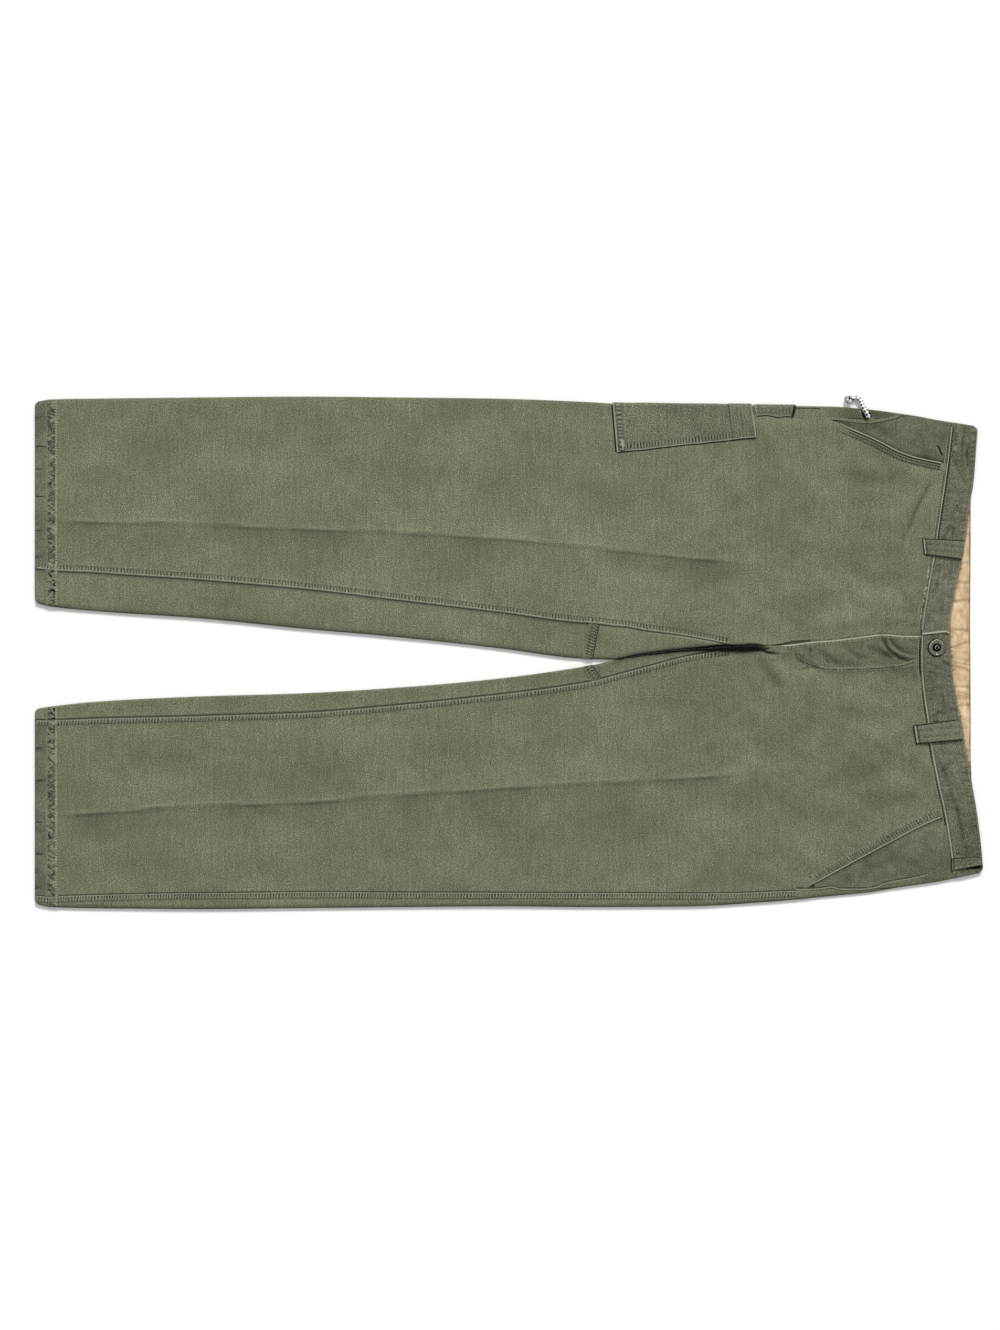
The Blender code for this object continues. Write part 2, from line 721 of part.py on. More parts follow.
def make_facing(name, garment, leg, first_level):
    """The pocket's facing: level with the side seam, and dipping to pass under the pocket's mouth."""
    slope = FACING_SLOPE["right" if leg.side > 0 else "left"]
    levels = levels_between(first_level, FULL_LEVEL)

    def knots(sec, along):
        start = outseam_run(leg, along) + SIDE_GAP
        mouth = run_from_fold(sec, sec.outer - slant_out(leg, along))
        near = max(start + 1.5, min(quarter(sec) + 0.6, mouth - 2.0))
        return start, near, max(mouth, near + 0.5), mouth + FACING_UNDERLAP

    def lift(along, out):
        inside = out - slant_out(leg, along)
        seam = read(leg.rows, "outer", along) - max(outseam_run(leg, along), 0.0)
        room = max(seam - slant_out(leg, along), 1.0)
        return -FACING_DIP * (1 - ease(min(1.0, room / 3), min(slope, room * 0.9), inside))

    outer, inner = round_wall(
        leg, levels, to_front_seam, knots, (2, 5, 1), lambda along, out: CLOTH, lift=lift
    )
    sew_wall(name, garment, outer, inner, color=OLIVE_DARK)


def tab_edge(share):
    """The across place of the tab's end, with its upper corner rounded."""
    start, depth = TAB_CORNER
    turned = max(0.0, (share - start) / (1 - start)) ** 2
    return TAB_END[0] + (TAB_END[1] - TAB_END[0]) * share - depth * turned


def make_front_band(name, garment, leg):
    outer, inner = [], []

    def along_of(share, across):
        low = read(BAND, "front_seam", across) + GAP / 2
        return low + share * (read(BAND, "front_top", across) - low)

    def lift(along, out):
        return TAB_RISE * ease(TAB_RAMP, TAB_FLAT, -out) if leg.side < 0 else 0.0

    def knots(sec, along):
        last = top_run(sec)
        return GAP / 2, quarter(sec) + 1.0, last - 62.0, last - 34.0, last

    for share in BAND_SHARES:
        end = -tab_edge(share) if leg.side < 0 else BAND_UNDERLAP

        def band_section(leg, along, end=end):
            return Section(read(leg.rows, "outer", along), end, end, BAND_LIE, 0.0)

        rows = round_wall(
            leg,
            (share,),
            along_of,
            knots,
            (3, 9, 4, 4),
            lambda along, out: BAND_CLOTH,
            section_of=band_section,
            lift=lift,
        )
        outer += rows[0]
        inner += rows[1]
    sew_wall(name, garment, outer, inner)


def make_back_band(garment):
    """The back waistband in one piece: right fold, underside and left fold."""
    halves = {}
    levels = ("seam", "middle", "step", "lip", "top")

    def along_of(level, across):
        low = read(BAND, "back_seam", across) + GAP / 2
        high = read(BAND, "back_top", across)
        places = (low, (low + high) / 2, high - LIP_DEPTH - LIP_STEP, high - LIP_DEPTH, high)
        return places[levels.index(level)]

    def band_section(leg, along):
        low = inner_edges(leg, along)[1]
        return Section(read(leg.rows, "outer", along), low, low, BAND_LIE, 0.0)

    def knots(sec, along):
        top, low = top_run(sec), low_run(sec)
        return top + GAP / 2, top + quarter(sec) + 0.5, top + low - quarter(sec) - 4.0, top + low - GAP / 2

    for leg in (RIGHT, LEFT):
        rows = ([], [])
        for level in levels:

            def cloth(along, out, leg=leg, level=level):
                flat = ease(8.0, 14.0, read(leg.rows, "outer", along) - out)
                return CLOTH + (LIP_HEIGHT - CLOTH) * (flat if level in ("lip", "top") else 0.0)

            made = round_wall(
                leg, (level,), along_of, knots, (2, 6, 6), cloth, section_of=band_section
            )
            rows[0].append(made[0][0])
            rows[1].append(made[1][0])
        halves[leg.side] = rows
    outer = [left[::-1] + right for left, right in zip(halves[-1][0], halves[1][0])]
    inner = [left[::-1] + right for left, right in zip(halves[-1][1], halves[1][1])]
    sew_wall("waistband_back", garment, outer, inner)


def make_band_facing(garment):
    def along_of(share, across):
        low = read(BAND, "back_seam", across) + FACING_IN
        high = read(BAND, "back_top", across) - LIP_DEPTH - LIP_STEP - 2 * GAP
        return low + share * (high - low)

    outer, inner = flat_wall(
        (0.0, 0.5, 1.0),
        along_of,
        lambda along: read(RIGHT_LEG, "outer", along) - FACING_SIDE,
        lambda along: -read(LEFT_LEG, "outer", along) + FACING_SIDE,
        18,
        lambda along, across: FACING_UP,
        lambda along, across: FACING_CLOTH,
    )
    sew_wall("waistband_facing", garment, outer, inner, color=TAN)


def make_patch(name, garment, low, high, shares, cells, hem_depth):
    """A pocket sewn flat on the right leg, from its outer fold to a long inner edge."""
    length = high.along_inner - low.along_inner

    def edge_at(share):
        return low.inner + (high.inner - low.inner) * share

    outer, inner = [], []
    for share in shares:
        at_inner = low.along_inner + (high.along_inner - low.along_inner) * share
        at_outer = low.along_outer + (high.along_outer - low.along_outer) * share
        edge = edge_at(share)
        fold = read(RIGHT_LEG, "outer", at_inner)

        def along_of(level, across):
            part = min(max((across - edge) / (fold - edge), 0.0), 1.0)
            return at_inner + (at_outer - at_inner) * part

        def knots(sec, along):
            mouth = run_from_fold(sec, sec.outer - edge)
            return -PATCH_TURN, quarter(sec) + 0.6, mouth - FELL_WIDTH, mouth

        base = round_wall(RIGHT, (share,), along_of, knots, cells, lambda along, out: -GAP)
        thick = PATCH_HEM_CLOTH if (1 - share) * length < hem_depth else CLOTH
        top = round_wall(RIGHT, (share,), along_of, knots, cells, lambda along, out: -GAP - thick)
        outer += top[1]
        inner += base[1]
    sew_wall(name, garment, outer, inner)


def make_loop(name, garment, ends, arch):
    """A belt loop: a folded strap, sewn down at both ends and arched between them."""
    outer, inner = [], []
    for step in arch:
        side_a = [low + (high - low) * step.share for low, high in zip(ends.low_a, ends.high_a)]
        side_b = [low + (high - low) * step.share for low, high in zip(ends.low_b, ends.high_b)]
        points = [[a + (b - a) * n / 3 for a, b in zip(side_a, side_b)] for n in range(4)]
        inner.append([(along, across, step.up) for along, across in points])
        outer.append([(along, across, step.up + LOOP_CLOTH) for along, across in points])
    sew_wall(name, garment, outer, inner)


def make_button(garment):
    mesh = bmesh.new()
    verts = [mesh.verts.new((ring.radius * MM, 0.0, ring.up * MM)) for ring in BUTTON]
    edges = [mesh.edges.new(pair) for pair in zip(verts, verts[1:])]
    bmesh.ops.spin(
        mesh, geom=verts + edges, axis=(0, 0, 1), cent=(0, 0, 0), angle=2 * math.pi, steps=BUTTON_SIDES
    )
    bmesh.ops.remove_doubles(mesh, verts=mesh.verts, dist=0.01 * MM)
    button = keep_mesh(mesh, "button", garment)
    button.location = (BUTTON_ALONG * MM, BUTTON_ACROSS * MM, (BAND_LIE + TAB_RISE + GAP) * MM)
    paint(button, "button", GUNMETAL, 0.45, 0.7)


def smooth_route(route, step):
    """Points about step apart on a smooth curve through the route's own points."""
    fine = []
    for i in range(len(route) - 1):
        a, b = route[max(i - 1, 0)], route[i]
        c, d = route[i + 1], route[min(i + 2, len(route) - 1)]
        for n in range(8):
            t = n / 8
            fine.append(
                tuple(
                    0.5 * (2 * q + (r - p) * t + (2 * p - 5 * q + 4 * r - s) * t**2
                           + (3 * q - p - 3 * r + s) * t**3)
                    for p, q, r, s in zip(a, b, c, d)
                )
            )
    fine.append(route[-1])
    lengths = [0.0]
    for a, b in zip(fine, fine[1:]):
        lengths.append(lengths[-1] + math.dist(a, b))
    count = max(2, round(lengths[-1] / step))
    points = []
    for n in range(count + 1):
        at = lengths[-1] * n / count
        i = min(bisect.bisect_right(lengths, at) - 1, len(fine) - 2)
        t = (at - lengths[i]) / (lengths[i + 1] - lengths[i])
        points.append(tuple(p + (q - p) * t for p, q in zip(fine[i], fine[i + 1])))
    return points


def make_cord(garment):
    points = smooth_route(CORD_ROUTE, CORD_STEP)
    data = bpy.data.curves.new("pull_cord", "CURVE")
    data.dimensions = "3D"
    line = data.splines.new("POLY")
    line.points.add(len(points) - 1)
    for spot, (along, across, up) in zip(line.points, points):
        spot.co = (along * MM, across * MM, up * MM, 1.0)
    data.bevel_depth = CORD_DIAMETER / 2 * MM
    data.bevel_resolution = 2
    data.use_fill_caps = True
    cord = bpy.data.objects.new("pull_cord", data)
    bpy.context.scene.collection.objects.link(cord)
    cord.parent = garment
    paint(cord, "pull_cord", CORD_WHITE, 0.8)


def make_knot(garment):
    """The knot at the cord's free end, lying on the surface."""
    mesh = bmesh.new()
    bmesh.ops.create_uvsphere(mesh, u_segments=KNOT_ROUND[0], v_segments=KNOT_ROUND[1], radius=1.0)
    for vert in mesh.verts:
        vert.co = [part * radius * MM for part, radius in zip(vert.co, KNOT_RADII)]
    knot = keep_mesh(mesh, "cord_knot", garment)
    knot.location = [part * MM for part in KNOT_AT]
    paint(knot, "cord_knot", CORD_WHITE, 0.8)


def stand_in_the_middle(garment, pieces):
    """Moves the garment so that the middle of its plan is the world's origin."""
    corners = [piece.matrix_basis @ vert.co for piece in pieces for vert in piece.data.vertices]
    for axis in (0, 1):
        values = [corner[axis] for corner in corners]
        garment.location[axis] = -(min(values) + max(values)) / 2


def main():
    for thing in list(bpy.data.objects):
        bpy.data.objects.remove(thing)
    garment = bpy.data.objects.new("garment", None)
    bpy.context.scene.collection.objects.link(garment)

    make_front("front_right", garment, RIGHT, right_front_lift)
    make_front("front_left", garment, LEFT, left_front_lift)
    for side, leg in (("right", RIGHT), ("left", LEFT)):
        make_back("back_" + side, garment, leg)
        make_gusset("gusset_" + side, garment, leg)
        make_front_band("waistband_front_" + side, garment, leg)
    make_facing("pocket_facing_right", garment, RIGHT, 930.0)
    make_facing("pocket_facing_left", garment, LEFT, 905.0)
    make_placket(garment)
    make_back_band(garment)
    make_band_facing(garment)
    make_patch(
        "cargo_pocket",
        garment,
        CARGO_LOW,
        CARGO_HIGH,
        (0.0, 0.06, 0.2, 0.4, 0.6, 0.845, 0.86, 1.0),
        (3, 3, 1),
        PATCH_HEM_DEPTH,
    )
    make_patch("tool_pocket", garment, TOOL_LOW, TOOL_HIGH, (0.0, 0.35, 0.7, 1.0), (3, 1, 1), 0.0)
    for name, ends in LOOPS.items():
        make_loop(name, garment, ends, SIDE_ARCH if name == "belt_loop_side" else LOOP_ARCH)
    make_button(garment)
    pieces = [thing for thing in garment.children]
    make_cord(garment)
    make_knot(garment)
    stand_in_the_middle(garment, pieces)


main()
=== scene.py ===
import json
import math
import random

import bpy
import numpy as np
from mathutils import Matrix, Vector

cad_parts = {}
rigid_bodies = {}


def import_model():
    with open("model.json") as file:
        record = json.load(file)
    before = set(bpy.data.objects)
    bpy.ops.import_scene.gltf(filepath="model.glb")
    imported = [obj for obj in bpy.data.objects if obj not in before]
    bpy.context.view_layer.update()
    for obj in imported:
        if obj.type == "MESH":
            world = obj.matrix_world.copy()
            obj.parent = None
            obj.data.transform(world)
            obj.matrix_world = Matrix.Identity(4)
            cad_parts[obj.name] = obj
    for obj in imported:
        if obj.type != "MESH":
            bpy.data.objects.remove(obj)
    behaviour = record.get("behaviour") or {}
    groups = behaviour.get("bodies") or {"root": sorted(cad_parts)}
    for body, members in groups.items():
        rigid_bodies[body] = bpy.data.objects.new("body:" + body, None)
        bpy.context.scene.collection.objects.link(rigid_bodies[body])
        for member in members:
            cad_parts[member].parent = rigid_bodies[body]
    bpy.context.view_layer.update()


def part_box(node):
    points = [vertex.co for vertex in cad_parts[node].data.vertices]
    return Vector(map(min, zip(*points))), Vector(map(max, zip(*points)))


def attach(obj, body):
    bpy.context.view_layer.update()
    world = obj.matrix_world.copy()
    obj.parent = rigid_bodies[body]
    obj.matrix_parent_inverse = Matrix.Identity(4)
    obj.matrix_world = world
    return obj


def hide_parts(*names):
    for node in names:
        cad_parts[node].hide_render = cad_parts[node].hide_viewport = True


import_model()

# Cargo pants laid flat on a pale floor, front side up.
# Lengths below are in millimetres: "along" from the hems to the waist, "across" towards the wearer's
# right leg, "up" over the floor. "out" is across on the right leg and minus across on the left one.
# "run" is the length of cloth round a leg from the middle of its outer fold, over the top.
mm = 0.001
buttonPlace = {"along": 1047.2, "across": 5.2}
buttonLow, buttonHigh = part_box("button")
shiftAlong = (buttonLow.x + buttonHigh.x) / 2 - buttonPlace["along"] * mm
shiftAcross = (buttonLow.y + buttonHigh.y) / 2 - buttonPlace["across"] * mm
dice = random.Random(11)
for thing in bpy.context.scene.objects:
    thing.select_set(False)


def toWorld(along, across, up):
    return np.stack([along * mm + shiftAlong, across * mm + shiftAcross, up * mm], axis=-1)


# the camera looks straight down
view = {"distance": 3.0, "longSide": 1.5441, "sensor": 36.0, "aim": (-0.0104, -0.0145, 0.004)}
cameraData = bpy.data.cameras.new("camera")
cameraData.sensor_fit = "AUTO"
cameraData.sensor_width = view["sensor"]
cameraData.lens = view["sensor"] * view["distance"] / view["longSide"]
camera = bpy.data.objects.new("camera", cameraData)
bpy.context.collection.objects.link(camera)
camera.location = Vector(view["aim"]) + Vector((0, 0, view["distance"]))
camera.rotation_euler = (0, 0, 0)
bpy.context.scene.camera = camera
bpy.context.scene.view_settings.view_transform = "Standard"


legRows = [0, 20, 75, 192, 308, 424, 540, 640, 676, 709, 757, 785, 813, 877, 923, 969, 1004, 1030, 1045,
           1074, 1101]
legs = {  # each leg's outer and inner folds, seams and pressed crease, as distances out
    "right": {
        "side": 1,
        "at": legRows,
        "outer": [291.5, 294.5, 295.5, 296.8, 297.8, 296.8, 295.3, 291.6, 289.5, 288.8, 288.3,
                  288, 287.6, 287, 286.2, 282.7, 278.1, 274, 271.1, 266.4, 262],
        "inner": [58, 53.5, 48.2, 40.1, 28.4, 18, 5.2, -7, -7.9, -1.5, 4.3, 6, 7.4, 8.9,
                  8.9, 8.9, 8.9, 8.9, 8.9, 8.9, 8.9],
        "strip": [39.5, 41.5, 44, 44.1, 45.7, 42.4, 41.4, 41.3, 38, 27, 14.5, 7.8, 1.6, 0,
                  0, 0, 0, 0, 0, 0, 0],
        "outseam": [-7, -7, -7, -7, -7, -7, -7, -7, -7, -7, -6.5, -5, -1.5, 12.8, 14, 12.6, 4.2,
                    0.6, 0, 0, 0],
        "crease": [155.5, 155, 153.3, 149.8, 145.4, 140.4, 134.1, 123.6, 120, 116.8, 112.1,
                   109.4, 106.6, 100, 96, 92, 90, 88, 86, 84, 82],
        "slant": {"at": [916, 932, 948, 979, 1001, 1018, 1040, 1075],
                  "out": [273.7, 267.6, 260.6, 246.7, 235.1, 228.7, 223.5, 216.5]},
    },
    "left": {
        "side": -1,
        "at": legRows,
        "outer": [291.5, 295.5, 296.8, 297.8, 296.6, 295.5, 294.4, 295.3, 295.2, 295, 294.6,
                  293.7, 292, 287.2, 282.7, 278.1, 272.3, 268.6, 266.4, 260.6, 254.8],
        "inner": [65, 62, 56.3, 50.5, 47, 40.1, 29.6, 15.5, 8.3, 1.9, -3.9, -5.6, -7, -8.5,
                  -8.5, -8.5, -8.5, -8.5, -8.5, -8.5, -8.5],
        "strip": [11.8, 15, 18.6, 21.6, 21.5, 19.1, 17.4, 17.6, 15.6, 13.1, 6.5, 3.6, 1.6, 0, 0,
                  0, 0, 0, 0, 0, 0],
        "outseam": [12.2, 15.2, 18.2, 21.4, 21.2, 19.8, 18.4, 19, 18.8, 18.4, 17.8, 17, 15.6,
                    13.3, 10.5, 5.4, 1.6, 0.3, 0, 0, 0],
        "crease": [188, 187, 184, 177, 172, 164, 155.5, 151, 148.5, 146.5, 143.6,
                   142, 140.2, 136.5, 133, 130, 128, 126, 125, 124, 123],
        "slant": {"at": [893, 923, 972, 1036, 1075], "out": [274.2, 257.9, 231.6, 198, 183]},
    },
}
meeting = {  # the line across which the legs meet, in front and behind
    "at": [676, 709, 757, 785, 813, 862, 950, 1101],
    "front": [-8.1, -1.7, 4.1, 5.8, 7.2, 8.6, 8.6, 8.6],
    "back": [-8.1, -1.7, 4.1, 5.8, 7.2, 8.6, 7.5, 5],
}
fly = {  # its folded edge, the placket's width behind it, and the right front's own edge past it
    "at": [862, 882, 905, 926, 965, 985, 1011, 1040],
    "edge": [8.4, 10.4, 13.4, 14.9, 19.6, 21.8, 20, 19.8],
    "width": [5, 11, 28.5, 34.5, 38, 37.5, 34, 28],
    "under": [0.4, -3, -9, -10, -10, -10, -10, -10],
}
band = {  # here "at" is across
    "at": [-270, -241, -192, -150, -114, -80, -52, -8, 28, 68, 120, 172, 192, 234, 275],
    "frontSeam": [1068, 1064.8, 1057.3, 1048.2, 1041.2, 1036.8, 1032.6, 1028.6, 1030, 1035.6,
                  1044.6, 1051.9, 1055, 1060.7, 1065.4],
    "frontTop": [1101.6, 1100, 1094.6, 1087.6, 1080.6, 1075, 1068.8, 1063, 1061.6, 1067,
                 1077.8, 1084.6, 1089, 1092.6, 1095.6],
    "backSeam": [1068, 1064.8, 1057.3, 1052.6, 1051, 1050, 1049.5, 1049, 1049, 1049,
                 1050, 1053, 1055, 1060.7, 1065.4],
    "backTop": [1101, 1099.2, 1092.8, 1088, 1086.7, 1086.7, 1086.6, 1086.4, 1086, 1086.2,
                1086.6, 1086.8, 1087.8, 1091.8, 1095.2],
}
wall = {
    "cloth": 1.2, "lie": 4.2, "hemLie": 5.0, "hemCloth": 2.1, "hemDepth": 26.0, "hemStep": 3.0,
    "gap": 0.3, "sideGap": 0.5, "near": 0.05, "fellWidth": 8.0, "fellRise": 0.7,
}
stitch = {"pitch": 3.2, "length": 2.2, "radius": 0.3, "above": 0.12}
crease = {"rise": 1.15, "reach": 34.0, "span": (20.0, 60.0, 760.0, 880.0)}
crotch = {"start": 647.0, "end": 816.0, "opens": (835.0, 862.0), "low": (20.0, 1.2), "narrows": 607.0,
          "meetingGap": 0.2, "closed": (660.0, 685.0, 850.0, 880.0), "flattens": (790.0, 850.0)}
lap = {"steps": (840.0, 866.0), "rise": 1.3, "dip": 1.5, "dipReach": (4.0, 20.0), "ramp": 8.0,
       "underlap": 10.0, "shows": (862.0, 882.0)}
mouth = {"dip": 1.5, "right": 30.0, "left": 12.0, "underlap": 12.0, "hem": 9.0, "hemRise": 0.5,
         "gapeRise": 1.1, "gapeReach": 26.0}
waist = {"cloth": 1.9, "lie": 4.9, "underlap": -9.0, "tabRise": 2.2, "tabFlat": -12.0,
         "tabRamp": -36.0, "tabEnd": (23.1, 26.6), "tabCorner": (0.86, 4.5), "lipHeight": 2.5,
         "lipDepth": 2.3, "lipStep": 0.1}
fullLevel, bendLevel = 1060.0, 985.0
hemTurn = {"reach": 5.0, "depth": 3.4, "end": 9.0}
lowest = 2.9  # how far a fold may sink at most

# Soft folds: from (along, across) to (along, across), half width, height (less than 0: a trough)
folds = [
    (1010, 143, 1039, 203, 3.5, -1.7),
    (1002, 146, 1034, 214, 12, 0.9),
    (930, 214, 975, 186, 17, -1.3),
    (880, 216, 935, 196, 16, -0.9),
    (905, 240, 955, 214, 12, 0.9),
    (870, 150, 1010, 128, 22, 0.8),
    (858, 120, 985, 104, 16, -0.8),
    (886, 182, 893, 148, 6, 0.5),
    (900, 184, 905, 150, 6, -0.4),
    (852, 262, 858, 224, 6, 0.7),
    (866, 262, 874, 220, 6, -0.7),
    (880, 258, 890, 226, 7, 0.5),
    (760, 118, 850, 96, 16, 0.8),
    (770, 92, 880, 76, 14, -0.9),
    (800, 40, 900, 84, 16, 0.9),
    (810, 24, 930, 50, 11, -0.9),
    (700, 60, 800, 30, 14, 0.8),
    (560, 200, 660, 176, 26, -0.7),
    (640, 226, 800, 214, 22, -0.7),
    (360, 232, 560, 240, 30, 0.7),
    (90, 250, 330, 262, 26, -0.7),
    (60, 205, 250, 214, 30, 0.6),
    (260, 96, 460, 84, 24, -0.7),
    (90, 110, 250, 104, 26, 0.6),
    (985, 60, 1024, 56, 7, 0.8),
    (980, 84, 1028, 78, 8, -0.9),
    (975, 226, 1035, 182, 10, -0.8),
    (882, -1, 910, -18, 3.4, -1.7),
    (839, 2, 857, 6, 9, 1),
    (846, -14, 884, -52, 9, 1),
    (870, -4, 902, -22, 5, -1.3),
    (880, 0, 914, -16, 5, 0.9),
    (900, -8, 936, -24, 7, -0.8),
    (962, 8, 1000, -10, 5, -1.2),
    (968, 12, 1008, -2, 4, 1),
    (980, 14, 1020, 2, 4, -0.9),
    (990, -4, 1022, -20, 6, 0.7),
    (832, -34, 872, -84, 10, -1),
    (812, -26, 850, -92, 12, 0.9),
    (880, -48, 894, -116, 8, 0.7),
    (894, -44, 908, -108, 8, -0.7),
    (770, -60, 860, -130, 20, -0.8),
    (700, -40, 800, -70, 16, 0.8),
    (940, -70, 1018, -62, 14, 0.7),
    (925, -110, 1015, -128, 16, -0.8),
    (950, -150, 1030, -168, 14, 0.7),
    (820, -196, 940, -206, 26, -0.8),
    (700, -236, 850, -240, 24, 0.6),
    (560, -110, 690, -104, 24, -0.7),
    (480, -226, 640, -214, 26, 0.6),
    (300, -116, 460, -100, 22, 0.6),
    (250, -236, 420, -240, 26, -0.7),
    (70, -236, 230, -226, 24, 0.6),
    (80, -124, 220, -118, 22, -0.6),
    (970, -262, 1050, -232, 9, 0.5),
]
# Narrow folds and creases as lines on the pattern sheet: half width, height, how dark the painted shade in
# them is, points
drawn = {"unit": 1.161, "hem": 35, "middle": 652.5}
wrinkles = [
    (1.9, -1.4, 0.95, [(880.5, 633.8), (888, 648), (900, 658), (918, 660.6)]),
    (2.2, -1, 0.6, [(886, 633.8), (896.7, 647), (905.8, 652.3), (918, 653.8)]),
    (2.2, 0.7, 0, [(884, 634), (893, 650), (904, 656), (918, 657)]),
    (3.6, -0.9, 0.25, [(872, 639), (883, 653), (896.7, 660.6)]),
    (1.8, -1.6, 1.25, [(794, 652), (803, 659.4), (811.8, 665), (823, 670.5)]),
    (2, -0.7, 0.3, [(808.8, 651.5), (812.6, 659)]),
    (2.8, -0.9, 0.3, [(816, 648.5), (828.5, 659), (845, 666.7)]),
    (3, 0.7, 0, [(824, 648), (838, 657), (856, 662)]),
    (3, -0.7, 0.2, [(846, 645), (856, 655), (868, 661)]),
    (1.9, -1.2, 1.6, [(752, 648.5), (762, 649.6), (768, 652.3), (779, 653.4)]),
    (3.4, 0.9, 0, [(768, 645), (776, 646), (786, 645)]),
    (6, -0.8, 0.25, [(866, 424), (886, 434), (904, 440)]),
    (4, -0.5, 0.2, [(915, 424), (921, 436), (926, 450)]),
    (3.5, -0.5, 0.2, [(899, 420), (893, 428), (890, 437)]),
    (6, -1.5, 0.42, [(758, 658), (774, 679), (784, 690)]),
    (6, 1.1, 0, [(772, 660), (786, 676), (800, 690)]),
    (8, -0.9, 0.1, [(745, 668), (752, 690), (768, 712)]),
    (2.6, -0.8, 0.3, [(909, 667), (914, 673), (919, 681)]),
    (2.3, -0.9, 0.3, [(907, 626), (913, 624.6), (920, 626)]),
    (4.5, -0.8, 0.15, [(880, 630), (896, 624), (915, 618)]),
    (9, -0.9, 0.1, [(830, 634), (858, 628), (884, 618)]),
    (2.6, -2, 0.55, [(903, 541), (910, 525), (918, 506), (929, 485), (942, 477)]),
    (9, 1.2, 0, [(894, 540), (904, 512), (916, 484)]),
    (10, -1.6, 0.34, [(846, 468), (862, 478), (884, 480), (906, 474)]),
    (8, 1, 0, [(850, 492), (874, 494), (898, 492)]),
    (4.5, -0.8, 0.12, [(800, 496), (803, 512), (806, 528)]),
    (4, 0.6, 0, [(808, 498), (811, 514), (813, 526)]),
    (5, -0.7, 0.1, [(770, 440), (776, 456), (780, 476)]),
    (5, 0.7, 0, [(782, 436), (789, 454), (793, 474)]),
    (5, -0.8, 0.1, [(795, 430), (803, 446), (806, 462)]),
    (12, -1.4, 0.16, [(838, 560), (868, 574), (902, 578)]),
    (10, 1, 0, [(842, 586), (872, 596), (902, 598)]),
    (7, -1, 0.26, [(900, 588), (912, 606), (917, 620)]),
    (14, -1.1, 0.16, [(760, 604), (800, 606), (842, 598)]),
    (12, 0.9, 0, [(756, 624), (800, 628), (840, 618)]),
    (9, -1.1, 0.2, [(806, 690), (812, 706), (808, 730)]),
    (8, 0.8, 0, [(820, 690), (826, 712), (822, 736)]),
    (12, -1.2, 0.18, [(836, 706), (866, 716), (900, 712)]),
    (10, 0.8, 0, [(846, 730), (880, 736), (912, 730)]),
    (14, -1.1, 0.16, [(830, 764), (866, 772), (908, 762)]),
    (12, -0.8, 0.08, [(888, 792), (906, 800), (924, 806)]),
    (14, -0.9, 0.08, [(700, 700), (740, 716), (782, 724)]),
    (12, -0.8, 0.06, [(610, 700), (650, 706), (700, 704)]),
    (3, -0.8, 0.3, [(926, 878), (938, 880), (952, 876)]),
    (2.6, -0.7, 0.3, [(928, 884), (940, 884.5), (952, 880)]),
    (3.2, -0.7, 0.16, [(741, 419), (748, 431), (752, 448)]),
    (3, 0.7, 0, [(748, 417), (756, 431), (760, 449)]),
    (3, -0.6, 0.15, [(757, 423), (766, 441), (770, 463)]),
    (2.8, 0.6, 0, [(765, 425), (773, 443), (778, 461)]),
    (3.2, 0.8, 0, [(800, 496), (795, 512), (788, 532)]),
    (3, -0.7, 0.16, [(803, 498), (808, 515), (814, 536)]),
    (3, -0.6, 0.12, [(796, 494), (789, 506), (779, 520)]),
    (4, -0.7, 0.14, [(742, 476), (752, 492), (768, 506)]),
    (4, 0.7, 0, [(750, 470), (762, 486), (778, 500)]),
    (5, -0.7, 0.12, [(705, 470), (724, 486), (746, 500)]),
    (9, -0.8, 0.05, [(600, 560), (640, 570), (690, 572)]),
    (12, 0.8, 0, [(560, 470), (610, 480), (670, 476)]),
    (14, -0.8, 0.06, [(500, 440), (550, 446), (600, 452)]),
    (12, -0.8, 0.06, [(120, 440), (170, 450), (230, 446)]),
    (12, 0.7, 0, [(200, 470), (260, 476), (330, 468)]),
    (10, -0.7, 0.06, [(60, 470), (90, 480), (130, 482)]),
    (14, -0.8, 0.06, [(380, 470), (430, 480), (480, 474)]),
    (13, -0.8, 0.06, [(100, 750), (160, 756), (230, 752)]),
    (12, 0.7, 0, [(240, 740), (300, 746), (370, 744)]),
    (14, -0.8, 0.06, [(330, 850), (400, 856), (480, 850)]),
    (12, -0.7, 0.06, [(540, 840), (600, 846), (660, 838)]),
    (13, 0.8, 0, [(90, 850), (150, 856), (230, 852)]),
]
foldGain = {"broad": 1.65, "narrow": 1.4, "least": 2.4}
# the hollow's darkness is painted shadow
groove = {  # the dark hollow where the legs meet: its two sides across, its depth and darkness
    "at": [668, 679, 702, 726, 749, 772, 795, 818, 832, 841, 847, 856, 870],
    "high": [-8.8, -6.8, -2, 0.8, 3.2, 6.8, 9.4, 9.8, 10.8, 10.4, 8, 6.6, 5.6],
    "low": [-9.4, -7.7, -4, -1.3, 1, 2, 1.7, 0.6, 1, 2.4, 4.2, 4.6, 4.4],
    "deep": [0.4, 0.8, 1.5, 1.9, 2.1, 2.3, 2.5, 2.6, 2.6, 2.2, 1.2, 0.4, 0],
    "paintedShadow": [0.9, 1.7, 1.9, 1.95, 2, 2, 2, 2, 1.95, 1.7, 0.9, 0.2, 0],
    "sinks": (660.0, 700.0, 850.0, 868.0), "darkens": (662.0, 680.0, 852.0, 864.0),
}
waves = [  # slow swells of the laid cloth: along and across lengths, phase, height
    (310.0, 190.0, 0.3, 0.26), (190.0, 260.0, 2.1, 0.22), (130.0, 96.0, 4.4, 0.14),
    (84.0, 150.0, 1.2, 0.12), (61.0, 57.0, 5.2, 0.07), (43.0, 88.0, 0.9, 0.05),
]


cellCount = 97  # cells each way before the random values repeat


